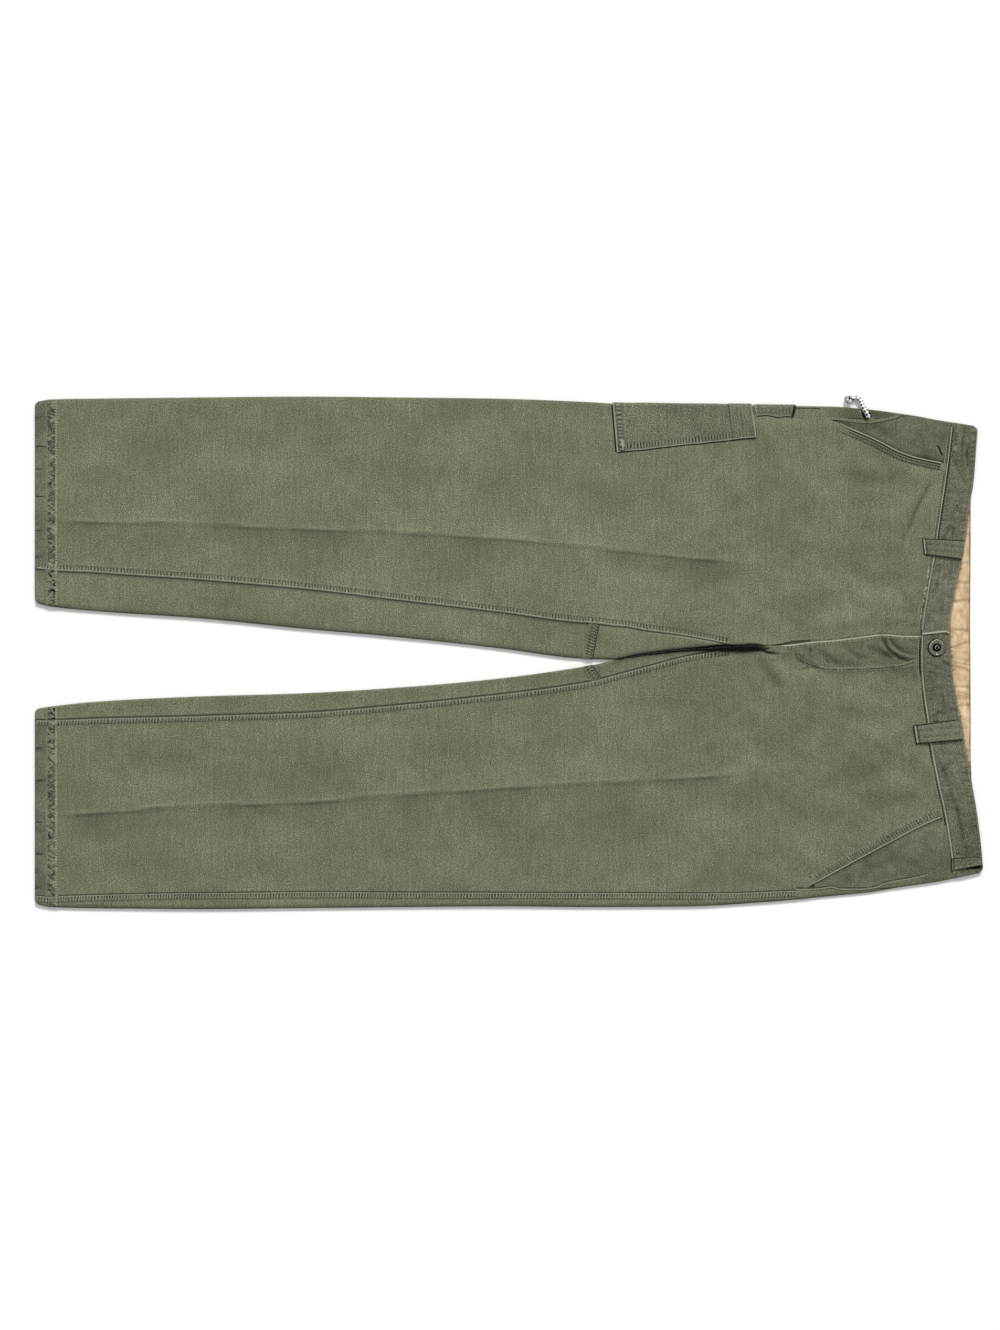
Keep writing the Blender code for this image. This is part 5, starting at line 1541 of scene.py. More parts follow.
def makePatch(name):
    patch = patches[name]
    leg = legs["right"]
    length = patch["high"][0] - patch["low"][0]

    def knots(sec, along, share):
        edge = runFromFold(sec, sec["outer"] - patchEdge(patch, share))
        return -0.5 + 0 * edge, quarter(sec) + 0.6, edge - wall["fellWidth"], edge

    def thick(share):
        hem = ease(length - patch["hem"] - 1.2, length - patch["hem"] + 1.2, share * length)
        return wall["cloth"] + 0.7 * hem * (patch["hem"] > 0)

    shares = np.concatenate([[0.0, 0.25 / length, 0.8 / length],
                             np.linspace(1.6 / length, 1 - 1.6 / length, patch["rows"]),
                             [1 - 0.8 / length, 1 - 0.25 / length, 1.0]])
    rows = shares[:, None]

    def bump(leg, along, out, run, share):
        # puckered along the sewn edges, a little full in the middle, and rounded at the rims
        sec = section(leg, along)
        inside = runFromFold(sec, sec["outer"] - patchEdge(patch, rows)) - run
        start, end = rows * length, (1 - rows) * length
        rim = np.minimum(np.minimum(inside, start), end)
        height = wall["gap"] + thick(rows) - 0.45 * bell(rim, 0, 0.35)
        wave = np.sin(start / 0.62 + 1.5 * np.sin(start / 6.1))
        ladder = bell(inside, 4.2, 3.2) * (end > 26) * (start > 4)
        height += 0.16 * wave * ladder
        wave = np.sin(run / 0.7 + 1.5 * np.sin(run / 5.0))
        height += 0.1 * wave * bell(start, 7.0, 5.0)
        height = height - 0.18 * bell(inside, 1.6, 0.5) - 0.16 * bell(inside, 7.4, 0.5)
        middle = ease(10, 26, inside) * ease(14, 40, start) * ease(26, 46, end)
        return height + 0.5 * middle * (0.6 + 0.4 * np.sin(start / 19.0))

    grids = roundWall(leg, shares, lambda share, across: patchAlong(patch, share, across), knots,
                      patch["cells"], lambda along, out: -0.12 + 0 * along, bumpOf=bump)
    sec, along, run = grids["sec"], grids["outer"][0], grids["run"]
    inside = runFromFold(sec, sec["outer"] - patchEdge(patch, rows)) - run
    start, end = rows * length + 0 * run, (1 - rows) * length + 0 * run
    uneven = 0.6 + 0.4 * np.sin(start / 2.3 + 2 * np.sin(start / 9.0)) * np.sin(run / 2.9)
    rim = np.minimum(np.minimum(inside, start), end)
    wornAndHighlight = 0.95 * (0.7 + 0.3 * uneven) * bell(rim, 0.6, 0.8)
    corner = np.hypot(inside, np.minimum(start, end))
    wornAndHighlight += 0.6 * bell(corner, 0, 2.2)
    shaded = 0.4 * bell(inside, 1.8, 0.5) + 0.3 * bell(inside, 7.4, 0.5)
    if patch["hem"]:
        # painted shade in the hem puckers' troughs and painted highlight on their ridges
        wave = 0.5 - 0.5 * np.sin(start / 0.57 + 1.1 * np.sin(start / 6.1))
        ladder = bell(inside, 5.4, 3.4, 4) * (end > 30) * (0.8 + 0.2 * np.sin(start / 13.0))
        ladder *= 0.85 + 0.35 * rumple(start / 3.5, inside / 2.5, 51)
        shaded += 1.2 * wave**1.3 * ladder
        wornAndHighlight += 0.6 * (1 - wave) ** 1.5 * ladder
        dots = beads(run)
        low = bell(start, 2.8, 0.9) + bell(start, 9.4, 0.9)
        shaded += 0.9 * low * dots
        rung = swing(run / 0.72 + 1.4 * np.sin(run / 5.0)) ** 1.4
        shaded += 0.95 * rung * bell(start, 6.1, 2.8, 4)
        tack = bell(start, 7.6, 2.2, 4) * bell(inside, 8.5, 4.8, 4)
        wornAndHighlight = wornAndHighlight + 0.5 * (1 - rung) * bell(start, 6.1, 2.8, 4) + 0.8 * tack
        shaded = shaded * (1 - 0.9 * tack) + 0.95 * dots * bell(end, patch["hem"], 0.9)
        # painted shade and highlight of fine folds near the pocket's high end
        turn = 2 * math.pi * end / 3.3 + 1.2 * np.sin(end / 4.0) + 1.6 * rumple(end / 4.0, run / 11.0, 52)
        streak = np.sin(turn)
        streak *= 0.55 + 0.45 * rumple(end / 5.0, run / 6.0, 54)
        fold = (end < 26) * (inside > 2)
        shaded = shaded + 0.55 * np.clip(streak, 0, 1) * fold + 0.6 * dots * bell(end, 2.6, 0.8)
        wornAndHighlight += 0.3 * np.clip(-streak, 0, 1) * fold
    else:
        # painted shade and highlight of the puckers beside the row; darker at the pocket's high end
        wave = swing(start / 0.66 + 1.6 * np.sin(start / 5.0) + 0.2 * inside) ** 2
        rung = bell(inside, 6.5, 2.6, 4) * (0.4 + 0.5 * ease(24.0, 32.0, start))
        shaded = shaded + 0.75 * wave * rung + 1.4 * bell(end, 0.8, 0.9) + 0.1
        shaded += 0.5 * bell(inside, 3.0, 0.6)
        wornAndHighlight = (wornAndHighlight + 0.25 * (1 - wave) * rung) * (end > 2)
    sewSolid(name + "_patch", grids, patch["node"], canvasPocket, wornAndHighlight, shaded)


makePatch("cargo")
makePatch("tool")


# belt loops
frontArch = {"at": [0.0, 0.08, 0.2, 0.34, 0.6, 0.84, 1.0], "up": [4.5, 4.6, 5.4, 6.1, 6.3, 5.9, 5.3]}
sideArch = {"at": [0.0, 0.12, 0.5, 0.88, 1.0], "up": [5.3, 5.4, 6.4, 6.0, 5.3]}
loops = {
    "loop_right": {"node": "belt_loop_right", "arch": frontArch,
                   "low": ((1029.8, 133.0), (1032.2, 114.0)), "high": ((1079.2, 130.4), (1075.4, 108.2))},
    "loop_left": {"node": "belt_loop_left", "arch": frontArch,
                  "low": ((1019.4, -84.4), (1022.6, -106.0)), "high": ((1072.6, -77.0), (1077.2, -101.0))},
    "loop_side": {"node": "belt_loop_side", "arch": sideArch,
                  "low": ((1063.6, -238.6), (1063.2, -253.0)),
                  "high": ((1097.4, -236.6), (1098.0, -246.4))},
}


def loopPlace(loop, share, part):
    corners = [np.array(pair, float) for pair in (*loop["low"], *loop["high"])]
    a = corners[0] + (corners[2] - corners[0]) * share[..., None]
    b = corners[1] + (corners[3] - corners[1]) * share[..., None]
    place = a + (b - a) * part[..., None]
    return place[..., 0], place[..., 1]


def loopUp(share, part):
    # three soft ridges run along it, the sewn ends are flattened and its edges are rounded
    ridges = 0.16 * np.cos(2 * math.pi * 3 * part - math.pi)
    edge = np.minimum(part, 1 - part)
    pressed = ease(0.03, 0.12, np.minimum(share, 1 - share))
    return 1.8 + ridges * pressed - 0.35 * (1 - pressed) - 0.5 * bell(edge, 0, 0.02)


def makeLoop(name):
    loop = loops[name]
    share, part = np.meshgrid(np.concatenate([[0, 0.006], np.linspace(0.018, 0.982, 52), [0.994, 1]]),
                              np.concatenate([[0, 0.02], np.linspace(0.05, 0.95, 24), [0.98, 1]]),
                              indexing="ij")
    along, across = loopPlace(loop, share, part)
    up = readTable(loop["arch"], "up", share)
    rim = np.minimum(share, 1 - share)
    top = up + loopUp(share, part) - 0.4 * bell(rim, 0, 0.006)
    grids = {"outer": (along, across, top), "inner": (along, across, up), "run": across}
    edge = np.minimum(part, 1 - part)
    uneven = 0.6 + 0.4 * np.sin(share * 31 + 9 * part)
    wornAndHighlight = 0.35 * uneven * bell(edge, 0.03, 0.03) + 0.85 * bell(share, 0.03, 0.02)
    # painted highlight on the three ridges and painted shade between them
    ridges = np.cos(2 * math.pi * 3 * part - math.pi)
    wornAndHighlight += 0.08 * (0.5 + 0.5 * ridges)
    shaded = 0.3 * bell(edge, 0.11, 0.02) + 0.22 * uneven * (0.5 - 0.5 * ridges) ** 2
    shaded = (shaded + 0.9 * bell(share, 0.085, 0.014)) * (share > 0.06)
    # painted shade round the loop's rims
    rims = np.minimum(edge / 0.045, share / 0.02)
    outline = np.exp(-(rims ** 4))
    wornAndHighlight, shaded = wornAndHighlight * (1 - outline), shaded + 1.7 * outline
    if name == "loop_side":
        wornAndHighlight, shaded = 0.4 * wornAndHighlight, shaded + 0.25 * (1 - part)
    sewSolid(name, grids, loop["node"], canvasBand, wornAndHighlight, shaded)


for name in loops:
    makeLoop(name)


# raised seams
def alongLine(points, step):
    # evenly spaced points on a smooth curve through a few given ones
    points = np.array(points, float)
    reach = lengthsAlong(points)
    at = np.linspace(0, reach[-1], max(2, int(round(reach[-1] / step))) + 1)
    table = {"at": reach, "x": points[:, 0], "y": points[:, 1]}
    return at, pairs(readTable(table, "x", at), readTable(table, "y", at))


def crossways(line):
    way = unit(np.gradient(line, axis=0))
    return pairs(-way[:, 1], way[:, 0])


def onLeg(leg, along, out, above, swellOf=fellSwell, liftOf=legLift):
    sec = section(leg, along)
    return clothPoint(leg, along, runFromFold(sec, sec["outer"] - out), above, section, liftOf, swellOf)


def seamSpots(first, last, width, count):
    # places across a raised seam: close together at its rims
    rim = min(0.3, width * 0.12)
    inner = np.linspace(rim * 2.4, width - rim * 2.4, count)
    return first + (last - first) / width * np.concatenate([[0, rim], inner, [width - rim, width]])


def raiseSeam(name, node, line, first, last, looks, placeOf, step=0.9, count=7, material=canvas):
    # a strip of sewn cloth beside a line, between two distances from it
    at, middle = alongLine(line, step)
    width = abs(last - first)
    spots = seamSpots(first, last, width, count)
    s, w = np.meshgrid(at, spots, indexing="ij")
    place = middle[:, None, :] + crossways(middle)[:, None, :] * w[..., None]
    inside = np.abs(w - first)
    height, wornAndHighlight, shaded = looks(s, inside, width)
    rim = np.minimum(inside, width - inside)
    end = np.minimum(s, at[-1] - s)
    height = np.where(rim < 1e-6, -0.3, height) * ease(-0.5, 1.5, end)
    outer = placeOf(place[..., 0], place[..., 1], height)
    inner = placeOf(place[..., 0], place[..., 1], np.full_like(height, -0.45))
    # the painted shadow of the hollow where the legs meet, over any strip lying in it
    grooveShadow = grooveShade(outer[0], outer[1])
    wornAndHighlight, shaded = wornAndHighlight * (1 - np.minimum(grooveShadow, 1)), shaded + grooveShadow
    grids = {"outer": outer, "inner": inner, "run": place[..., 1]}
    seams.append((node, sewWall(name, grids, material, wornAndHighlight, shaded)))


def puckered(seed, period=4.1, base=0.4, deep=0.6, rows=(2.0, 6.5), slanted=0.3, pale=0.5, dark=1.25,
             rim=0.9):
    # a felled seam after washing: uneven ridges across it between its rows of stitches, with painted
    # highlight on the ridges and painted shade between them
    def looks(s, w, width):
        drift = 1.4 * np.sin(s / 11.3 + seed) + 0.8 * np.sin(s / 4.9 + 2 * seed) + 0.6 * np.sin(s / 2.3 + w)
        wave = swing(2 * math.pi * s / period + drift + slanted * w)
        strong = 0.78 + 0.22 * np.sin(s / 23.0 + seed) * np.sin(s / 9.1 + 3 * seed)
        strong *= 0.75 + 0.35 * rumple(s / 3.6, w / 3.4, int(10 * seed))
        fall = 1 - ease(width * 0.6, width, w)
        height = base * ease(0.0, 0.6, w) * (0.1 + 0.9 * fall)
        middle = ease(1.2, 2.4, w) * (0.25 + 0.75 * fall) * (1 - 0.45 * bell(w, width * 0.52, 0.9))
        height += deep * strong * (wave - 0.5) * middle
        wornAndHighlight = pale * strong * wave**2 * middle
        shaded = dark * strong * (1 - wave) ** 1.6 * middle + 0.12 * middle
        for row in rows:
            near = bell(w, row, 0.6)
            height -= 0.2 * near
            shaded += 0.8 * near * (0.35 + 0.65 * np.cos(math.pi * s / stitch["pitch"]) ** 2)
            wornAndHighlight *= 1 - 0.5 * near
        # a pale rim at the seam's edge, partly rubbed and partly painted highlight, and painted shadow in
        # the ditch beside it
        edge = bell(w, 1.45, 0.7, 4)
        wornAndHighlight += rim * edge * (0.85 + 0.15 * np.sin(s / 1.9))
        shaded = shaded * (1 - edge * min(rim, 1.0)) + (1.6 if rim < 1.1 else 0.9) * bell(w, 0.3, 0.5)
        return height, wornAndHighlight, np.clip(shaded, 0, 1.35)
    return looks


def fromRun(leg, swellOf=fellSwell):
    return lambda along, run, above: clothPoint(leg, along, run, above, section, legLift, swellOf)


def fromOut(leg, swellOf=fellSwell, liftOf=legLift):
    return lambda along, out, above: onLeg(leg, along, out, above, swellOf, liftOf)


def seamLine(leg, runOf, first, last, step=12.0):
    along = np.linspace(first, last, max(2, int((last - first) / step)))
    return pairs(along, runOf(section(leg, along), along))


# how pale the felled seams' rims are: partly rubbed, partly painted highlight
ladderRim = {"right": 1.15, "left": 1.0}
gussetEnds = {"right": (651.0, 643.0), "left": (654.0, 641.0)}
hemRow = {"at": 24.6, "inset": 4.0}
bandDepth = 34.0
seams = []
stitchRows = {"olive": [], "pale": [], "tan": []}


def addRow(group, spots, bar=False):
    row = toWorld(*spots)
    stitchRows[group].append(("bar", row) if bar else row)


def sewAlong(group, line, shift, placeOf, above=None, first=0.0, last=0.0):
    # notes a row of stitches beside a line
    at, middle = alongLine(line, 0.8)
    kept = (at >= first) & (at <= at[-1] - last)
    place = middle + crossways(middle) * shift
    above = np.zeros(kept.sum()) + (above or stitch["above"])
    addRow(group, placeOf(place[kept, 0], place[kept, 1], above))


def hemLadder(seed):
    # crossed puckers between the rows that hold the hem, with painted shade in their troughs and painted
    # highlight on their tops
    def looks(s, w, width):
        one = rumple((s + 0.75 * w) / 1.3, w / 4.0, int(10 * seed))
        two = rumple((s - 0.6 * w) / 1.5, w / 3.4, int(10 * seed) + 1)
        crossed = np.clip(0.5 + 0.75 * np.where(np.abs(one) > np.abs(two), one, two), 0, 1)
        strong = 0.8 + 0.2 * np.sin(s / 17.0 + seed) * np.sin(s / 7.1)
        strong *= 0.55 + 0.45 * ease(3.0, 8.0, w)
        inside = window(w, 0.6, 4.5, width - 2.6, width - 0.4)
        height = 0.2 * inside + 0.7 * strong * (crossed - 0.5) * inside
        shaded = 1.5 * strong * np.clip(0.42 - crossed, 0, 1) / 0.4 * inside + 0.32 * inside
        wornAndHighlight = 0.85 * strong * np.clip(crossed - 0.56, 0, 1) / 0.42 * inside
        dots = beads(s)
        row = bell(w, width - 2.4, 0.9)
        shaded = shaded * (1 - row) + 0.7 * row * dots**2
        wornAndHighlight = wornAndHighlight * (1 - row) + 0.95 * row * (1 - dots**2)
        row = bell(w, width - 3.8, 0.5)
        return height, wornAndHighlight, shaded + 0.4 * row * dots
    return looks


# the creases are drawn as strips of painted shadow
hemSlits = {  # short creases that run in from the hem's edge: out, how they lean, and how long
    "right": ((240.0, -1.5, 17.0), (213.5, -1.0, 12.0), (181.5, 0.6, 15.0), (142.0, 1.2, 11.0)),
    "left": ((110.0, 1.0, 13.0), (148.0, -1.2, 16.0), (196.0, 0.8, 12.0), (233.0, 1.4, 15.0)),
}


# painted shadow of a short crease, fading towards its far end
def slitShadow(s, w, width):
    middle = np.abs(w - width / 2) / (width / 2)
    taper = window(s, -1.0, 1.0, 0.4 * s.max(), s.max())
    return 0.08 + 0 * w, 0 * w, 1.35 * taper * bell(middle, 0, 0.3 + 0.45 * taper, 4)


for number, key in enumerate(("right", "left")):
    leg = legs[key]
    line = seamLine(leg, lambda sec, along: inseamRun(leg, sec, along) - wall["gap"] / 2, 2.0, 806.0)
    front, back, place = "front_" + key, "back_" + key, fromRun(leg)
    raiseSeam(key + "_inseam", front, line, -0.1, -8.8,
              puckered(1.3 + number, 3.7, deep=0.5, dark=1.55, pale=0.75, rim=ladderRim[key]), place)
    for row in (-1.7, -6.4):
        sewAlong("olive", line, row, place, 0.3, 1.0, 12.0)
    # the gusset's end seam crosses the inner fold
    start = np.array(crotch["start"])
    sec = section(leg, start)
    top, low = float(topRun(sec)), float(inseamRun(leg, sec, start))
    first, last = gussetEnds[key]
    line = [(first, low + 0.6), ((first + last) / 2, (low + top) / 2), (last, top + 2.0)]
    raiseSeam(key + "_gusset_seam", back, line, -4.5, 7.5,
              puckered(2.3 + number, 3.4, 0.42, 0.5, (1.8, 8.0), rim=0.45), place)
    for row in (-2.8, 3.4):
        sewAlong("olive", line, row, place, 0.3)
    # the hem's sewn depth, across the top
    along = np.full(30, hemRow["at"])
    width = float(topRun(section(leg, along))[0])
    line = pairs(along, np.linspace(hemRow["inset"], width - hemRow["inset"], 30))
    raiseSeam(key + "_hem_seam", front, line, 12.2, -2.4, hemLadder(4.1 + number), place, 0.7, 12)
    sewAlong("pale", line, 0.2, place, 0.5)
    sewAlong("pale", line, -1.0, place, 0.35)
    for slit, (out, lean, long) in enumerate(hemSlits[key]):
        line = [(1.0, out), (1.0 + long / 2, out + 0.3 * lean), (1.0 + long, out + lean)]
        raiseSeam(f"{key}_hem_slit_{slit}", front, line, -0.9, 0.9, slitShadow, fromOut(leg), 0.8, 5)
    print(key, "leg's seams laid")

leg = legs["left"]
line = seamLine(leg, lambda sec, along: outseamRun(leg, along) - wall["sideGap"] / 2, 2.0, 884.0)
onBack = fromRun(leg, None)
raiseSeam("left_outseam", "back_left", line, -0.1, -10.0,
          puckered(3.7, 3.3, rows=(2.0, 8.0), pale=0.8, dark=1.5), onBack, 0.8, 14)
for row in (-1.7, -6.6):
    sewAlong("olive", line, row, onBack, 0.3, 1.0, 10.0)

mouthBase = 0.34  # how far the pocket mouths' sewn edges stand up


def mouthLook(lines, ticks):
    # a rubbed edge, then dark rows of stitches between faint ridges, with painted shade and highlight on
    # the ridges
    def looks(s, w, width):
        dots = beads(s, 1.4 * np.sin(s / 9.0))
        wave = 2 * math.pi * s / 3.5 + 1.3 * np.sin(s / 7.0) + 0.35 * w + 2.0 * rumple(s / 4.3, w / 3.6, 91)
        wave = swing(wave) * (0.75 + 0.35 * rumple(s / 6.1, w / 3.1, 92))
        fall = 1 - ease(width * (0.82 if ticks > 0.5 else 0.7), width, w)
        height = mouthBase * ease(0.0, 0.6, w) * (0.1 + 0.9 * fall)
        height += 0.3 * ticks * (wave - 0.5) * ease(2.0, 3.0, w)
        foot = ease(4.0, 22.0, s)
        wornAndHighlight = 1.2 * bell(w, 0.8, 0.62, 4) * (0.35 + 0.65 * foot)
        shaded = ticks * (1 - wave) ** 1.4 * ease(2.2, 3.2, w) * fall + 0.06
        wornAndHighlight += 0.45 * ticks * wave**2 * ease(2.2, 3.2, w) * fall
        for row, solid, dark in lines:
            near = bell(w, row, 0.62 if ticks > 0.5 else 0.85)
            height -= 0.15 * near
            shaded += dark * near * (solid + (1 - solid) * dots)
            wornAndHighlight += 0.28 * bell(w - row, 1.3, 0.6) * (w < width - 1.2)
        return height, wornAndHighlight, np.clip(shaded, 0, 1.9) * (0.4 + 0.6 * foot)
    return looks


mouthRows = {"left": ((2.2, 0.9, 0.45), (5.4, 0.5, 0.35), (8.2, 0.4, 0.4)),
             "right": ((2.3, 1.0, 1.6), (5.7, 0.4, 2.0), (9.0, 0.35, 2.0))}
for key, width in (("left", 11.0), ("right", 10.4)):
    leg = legs[key]
    slant = leg["slant"]
    first = slant["at"][0] + (4 if key == "left" else 19)
    along = np.linspace(first, 1052.0, 18)
    along = np.minimum(along, toFrontSeam(np.full(18, fullLevel), leg["side"] * slantOut(leg, along)) - 1.0)
    line = pairs(along, slantOut(leg, along))
    place = fromOut(leg)
    look = mouthLook(mouthRows[key], 0.75 if key == "left" else 0.15)
    raiseSeam(key + "_mouth", "front_" + key, line, 0.1, -width, look, place, 0.9, 14)
    for row, _, _ in mouthRows[key][1:]:
        sewAlong("olive", line, -row, place, mouthBase - 0.1, 1.0, 2.0)


def gapLook(dark):
    # painted shadow in the gaps beside the patch pockets' edges
    def looks(s, w, width):
        middle = np.abs(w - width / 2) / (width / 2)
        uneven = 0.85 + 0.15 * np.sin(s / 3.7) * np.sin(s / 9.1)
        return 0.06 + 0 * w, 0 * w, dark * uneven * bell(middle, 0, 0.8, 6)
    return looks


def acrossPatch(patch, share, outs):
    return pairs(patchAlong(patch, share, outs), outs)


def besidePatch(patch, inside):
    share = np.linspace(0.0, 1.0, 30)
    out = patchEdge(patch, share) - inside
    return pairs(patchAlong(patch, share, out + inside), out)


cargo, tool = patches["cargo"], patches["tool"]
onRight = fromOut(legs["right"])
lowEnd = acrossPatch(cargo, 0.0, np.linspace(232.6, 288.0, 24)) - [0.9, 0.0]
highEnd = acrossPatch(cargo, 1.0, np.linspace(250.6, 286.0, 20)) + [0.6, 0.0]
toolEnd = acrossPatch(tool, 1.0, np.linspace(273.4, 286.0, 10)) + [0.5, 0.0]
for name, line, wide, dark in (
    ("cargo_low_gap", lowEnd, 2.4, 2.0), ("cargo_side_gap", besidePatch(cargo, 0.6), 1.9, 1.9),
    ("cargo_high_gap", highEnd, 1.2, 0.9), ("tool_side_gap", besidePatch(tool, 0.5), 1.6, 1.7),
    ("tool_high_gap", toolEnd, 1.7, 1.8),
):
    raiseSeam(name, "front_right", line, -wide / 2, wide / 2, gapLook(dark), onRight, 0.9, 5)


def onLeft(along, across, above):
    return onLeg(legs["left"], along, -across, above)


# fly: its edge, and the row sewn in a J beside it
jay = [(882.6, 0.6), (886.0, -5.8), (897.0, -12.5), (907.5, -16.9), (927.0, -19.8), (965.0, -18.8),
       (1003.0, -15.7), (1025.0, -9.6)]


def flySunk(s, w, width):
    # stitches pull the cloth down deepest at the curve
    middle = np.abs(w - width / 2)
    deep = bell(s, 16.0, 14.0)
    wave = swing(s / 0.6 + 1.6 * np.sin(s / 7.0))
    height = 0.22 * ease(0.0, 1.2, np.minimum(w, width - w)) - 0.25 * bell(middle, 0, 0.6)
    height += 0.14 * (wave - 0.5)
    shaded = (1.3 + 0.4 * deep) * bell(middle, 0, 0.9 + 0.7 * deep) * (0.35 + 0.65 * wave)
    shaded = shaded * (0.75 + 0.5 * rumple(s / 4.0, w / 3.0, 96)) + 0.3 * (1 - wave)
    return height, 0.1 * wave * (1 - deep) * (middle > 1.0), shaded


raiseSeam("fly_row", "front_left", jay, 3.2, -3.2, flySunk, onLeft, 0.8, 8)
sewAlong("olive", jay, 0.9, onLeft, 0.22)
sewAlong("olive", jay, -0.9, onLeft, 0.22)
along = np.linspace(868.0, 1026.0, 20)
line = pairs(along, flyEdge(along) - 0.2)


def flyRim(s, w, width):
    # the folded edge: pale, partly rubbed and partly painted highlight
    wave = swing(s / 0.8 + 1.6 * np.sin(s / 9.0))
    height = 0.3 * ease(0.0, 0.6, np.minimum(w, width - w)) + 0.12 * (wave - 0.5)
    return height, 1.25 * bell(w, 0.6, 0.7, 4), 0.8 * wave * bell(w, 2.9, 0.9)


raiseSeam("fly_edge", "front_left", line, 0.0, -5.0, flyRim, onLeft)
sewAlong("olive", line, -3.0, onLeft, 0.3)


def creaseShadowLook(dark):
    # painted shadow of a thin deep crease, on a flat strip, tapering at both ends
    def looks(s, w, width):
        middle = np.abs(w - width / 2) / (width / 2)
        taper = window(s, -0.5, 5.0, s.max() - 6.0, s.max())
        return 0.08 + 0 * w, 0 * w, dark * taper * bell(middle, 0, 0.25 + 0.5 * taper, 4)
    return looks


onTop = fromOut(legs["right"], None)
onFacing = fromOut(legs["right"], None, facingLift("right"))
# strips of painted shadow in creases and beside the fly's edge
for name, node, line, wide, dark, place in (
    ("fork_crease", "front_left", [(841.0, 3.4), (848.0, 4.4), (856.0, 6.9)], 1.8, 1.7, onLeft),
    ("fly_shadow", "front_right", [(853.0, 8.7), (865.0, 9.9), (876.0, 12.3), (888.0, 13.8), (904.0, 14.4)],
     1.8, 1.75, onTop),
    ("fly_crease", "front_left",
     [(880.0, 0.8), (888.0, -4.2), (894.0, -8.9), (901.0, -13.4), (908.0, -17.2), (916.0, -20.6)],
     1.7, 1.6, onLeft),
    ("fly_branch_a", "front_left", [(899.0, 9.6), (900.6, 4.0), (904.0, -2.0)], 1.5, 1.1, onLeft),
    ("fly_branch_b", "front_left", [(914.0, -4.4), (919.0, -9.0), (926.0, -14.6)], 1.6, 1.0, onLeft),
    ("fly_branch_c", "front_left", [(888.0, -19.4), (896.0, -17.0), (907.0, -15.2)], 1.5, 1.1, onLeft),
    ("waist_crease", "front_left",
     [(981.0, 22.0), (985.0, 13.0), (990.0, 4.0), (998.0, -3.6), (1008.0, -8.4), (1022.0, -9.6)],
     1.8, 1.1, onLeft),
    ("facing_crease", "pocket_facing_right",
     [(1046.0, 242.6), (1050.0, 237.8), (1052.0, 233.0), (1055.6, 226.6)], 2.6, 1.9, onFacing),
):
    raiseSeam(name, node, line, -wide / 2, wide / 2, creaseShadowLook(dark), place, 0.8, 5)
print("fly and pocket mouths sewn")


def dotted(torn):
    # the row beside the waistband, where the panels are sewn into it
    def looks(s, w, width):
        dots = beads(s, 1.2 * np.sin(s / 17.0))
        strong = 0.65 + 0.35 * np.sin(s / 29.0) * np.sin(s / 11.0)
        row = bell(w, 1.1, 0.7)
        height = 0.25 * ease(0.0, 0.5, w) * (1 - ease(width - 1.5, width, w)) - 0.25 * row * dots
        frayed = torn * ease(8.0, 20.0, s) * (1 - ease(74.0, 84.0, s))
        loose = rumple(s / 2.2, w / 1.8, 61) * frayed
        wornAndHighlight = 0.3 * (1 - dots) * bell(w, 2.6, 0.8) + 1.6 * np.clip(loose - 0.15, 0, 1)
        ragged = (1 - torn) * (1 - ease(10.0, 24.0, np.abs(s - 22.0)))
        dark = strong * (0.55 + 0.6 * dots) * (1.2 + 0.9 * ragged) * (2 - torn) * row
        dark = np.clip(dark + 2.0 * np.clip(-loose - 0.1, 0, 0.7), 0, 2)
        return height + 0.3 * loose, wornAndHighlight, dark
    return looks


def ropeRow(dark):
    # the band's own edge: a pale rope of stitches with dark needle holes beside it
    def looks(s, w, width):
        dots = beads(s, 1.2 * np.sin(s / 17.0))
        uneven = 0.8 + 0.2 * np.sin(s / 7.7) * np.sin(s / 19.0)
        pale = bell(w, 1.1, 0.58, 4)
        holes = bell(w, 2.8, 0.95 if dark > 1 else 0.7)
        height = 0.42 * ease(0.0, 0.5, w) * (1 - ease(width - 1.6, width, w)) - 0.2 * holes * dots
        if dark > 1:
            holes *= 0.25 + 0.75 * ease(92.0, 112.0, s)
        return height, 1.15 * uneven * (0.72 + 0.28 * dots) * pale, dark * (0.25 + 0.75 * dots) * holes
    return looks


for key, first, last in (("right", 23.0, 262.0), ("left", -16.0, 254.0)):
    leg = legs[key]
    out = np.linspace(first, last, 40)
    line = pairs(readTable(band, "frontSeam", leg["side"] * out) - wall["gap"], out)
    torn, place = (1.0, fromOut(leg, None)) if key == "right" else (0.0, fromOut(leg))
    raiseSeam(key + "_waist_row", "front_" + key, line, 0.3, 3.6, dotted(torn), place)


def onDepth(key):
    # from a place in millimetres over the band's depth to its share
    return lambda past, across, above: onBand(key, past / bandDepth, across, above)


# waistband rows
for key, first, last in (("right", 26.0, 262.0), ("left", 20.0, -256.0)):
    across = np.linspace(first, last, 60)
    line = pairs(np.zeros(60), across)
    for share, group, above in ((0.018, "pale", 0.4), (0.95, "olive", 0.12)):
        at, middle = alongLine(line, 0.8)
        addRow(group, onBand(key, np.full(len(at), share), middle[:, 1], above))
    way = legs[key]["side"]
    raiseSeam(key + "_band_seam", "waistband_front_" + key, line, 0.6 * way, -4.6 * way,
              ropeRow(2.1 if key == "right" else 0.5), onDepth(key), 0.8, 9, canvasBand)
across = np.linspace(-150, 118, 500)
place = readTable(band, "backTop", across) - 5.0
addRow("tan", (place, across, np.full_like(across, 2.42)))
tabSide = np.linspace(0.08, 0.84, 60)
addRow("olive", onBand("left", tabSide, tabEdge(tabSide) - 3.6, 0.12))
line = pairs(np.linspace(0.4, bandDepth - 1.0, 30), np.zeros(30))


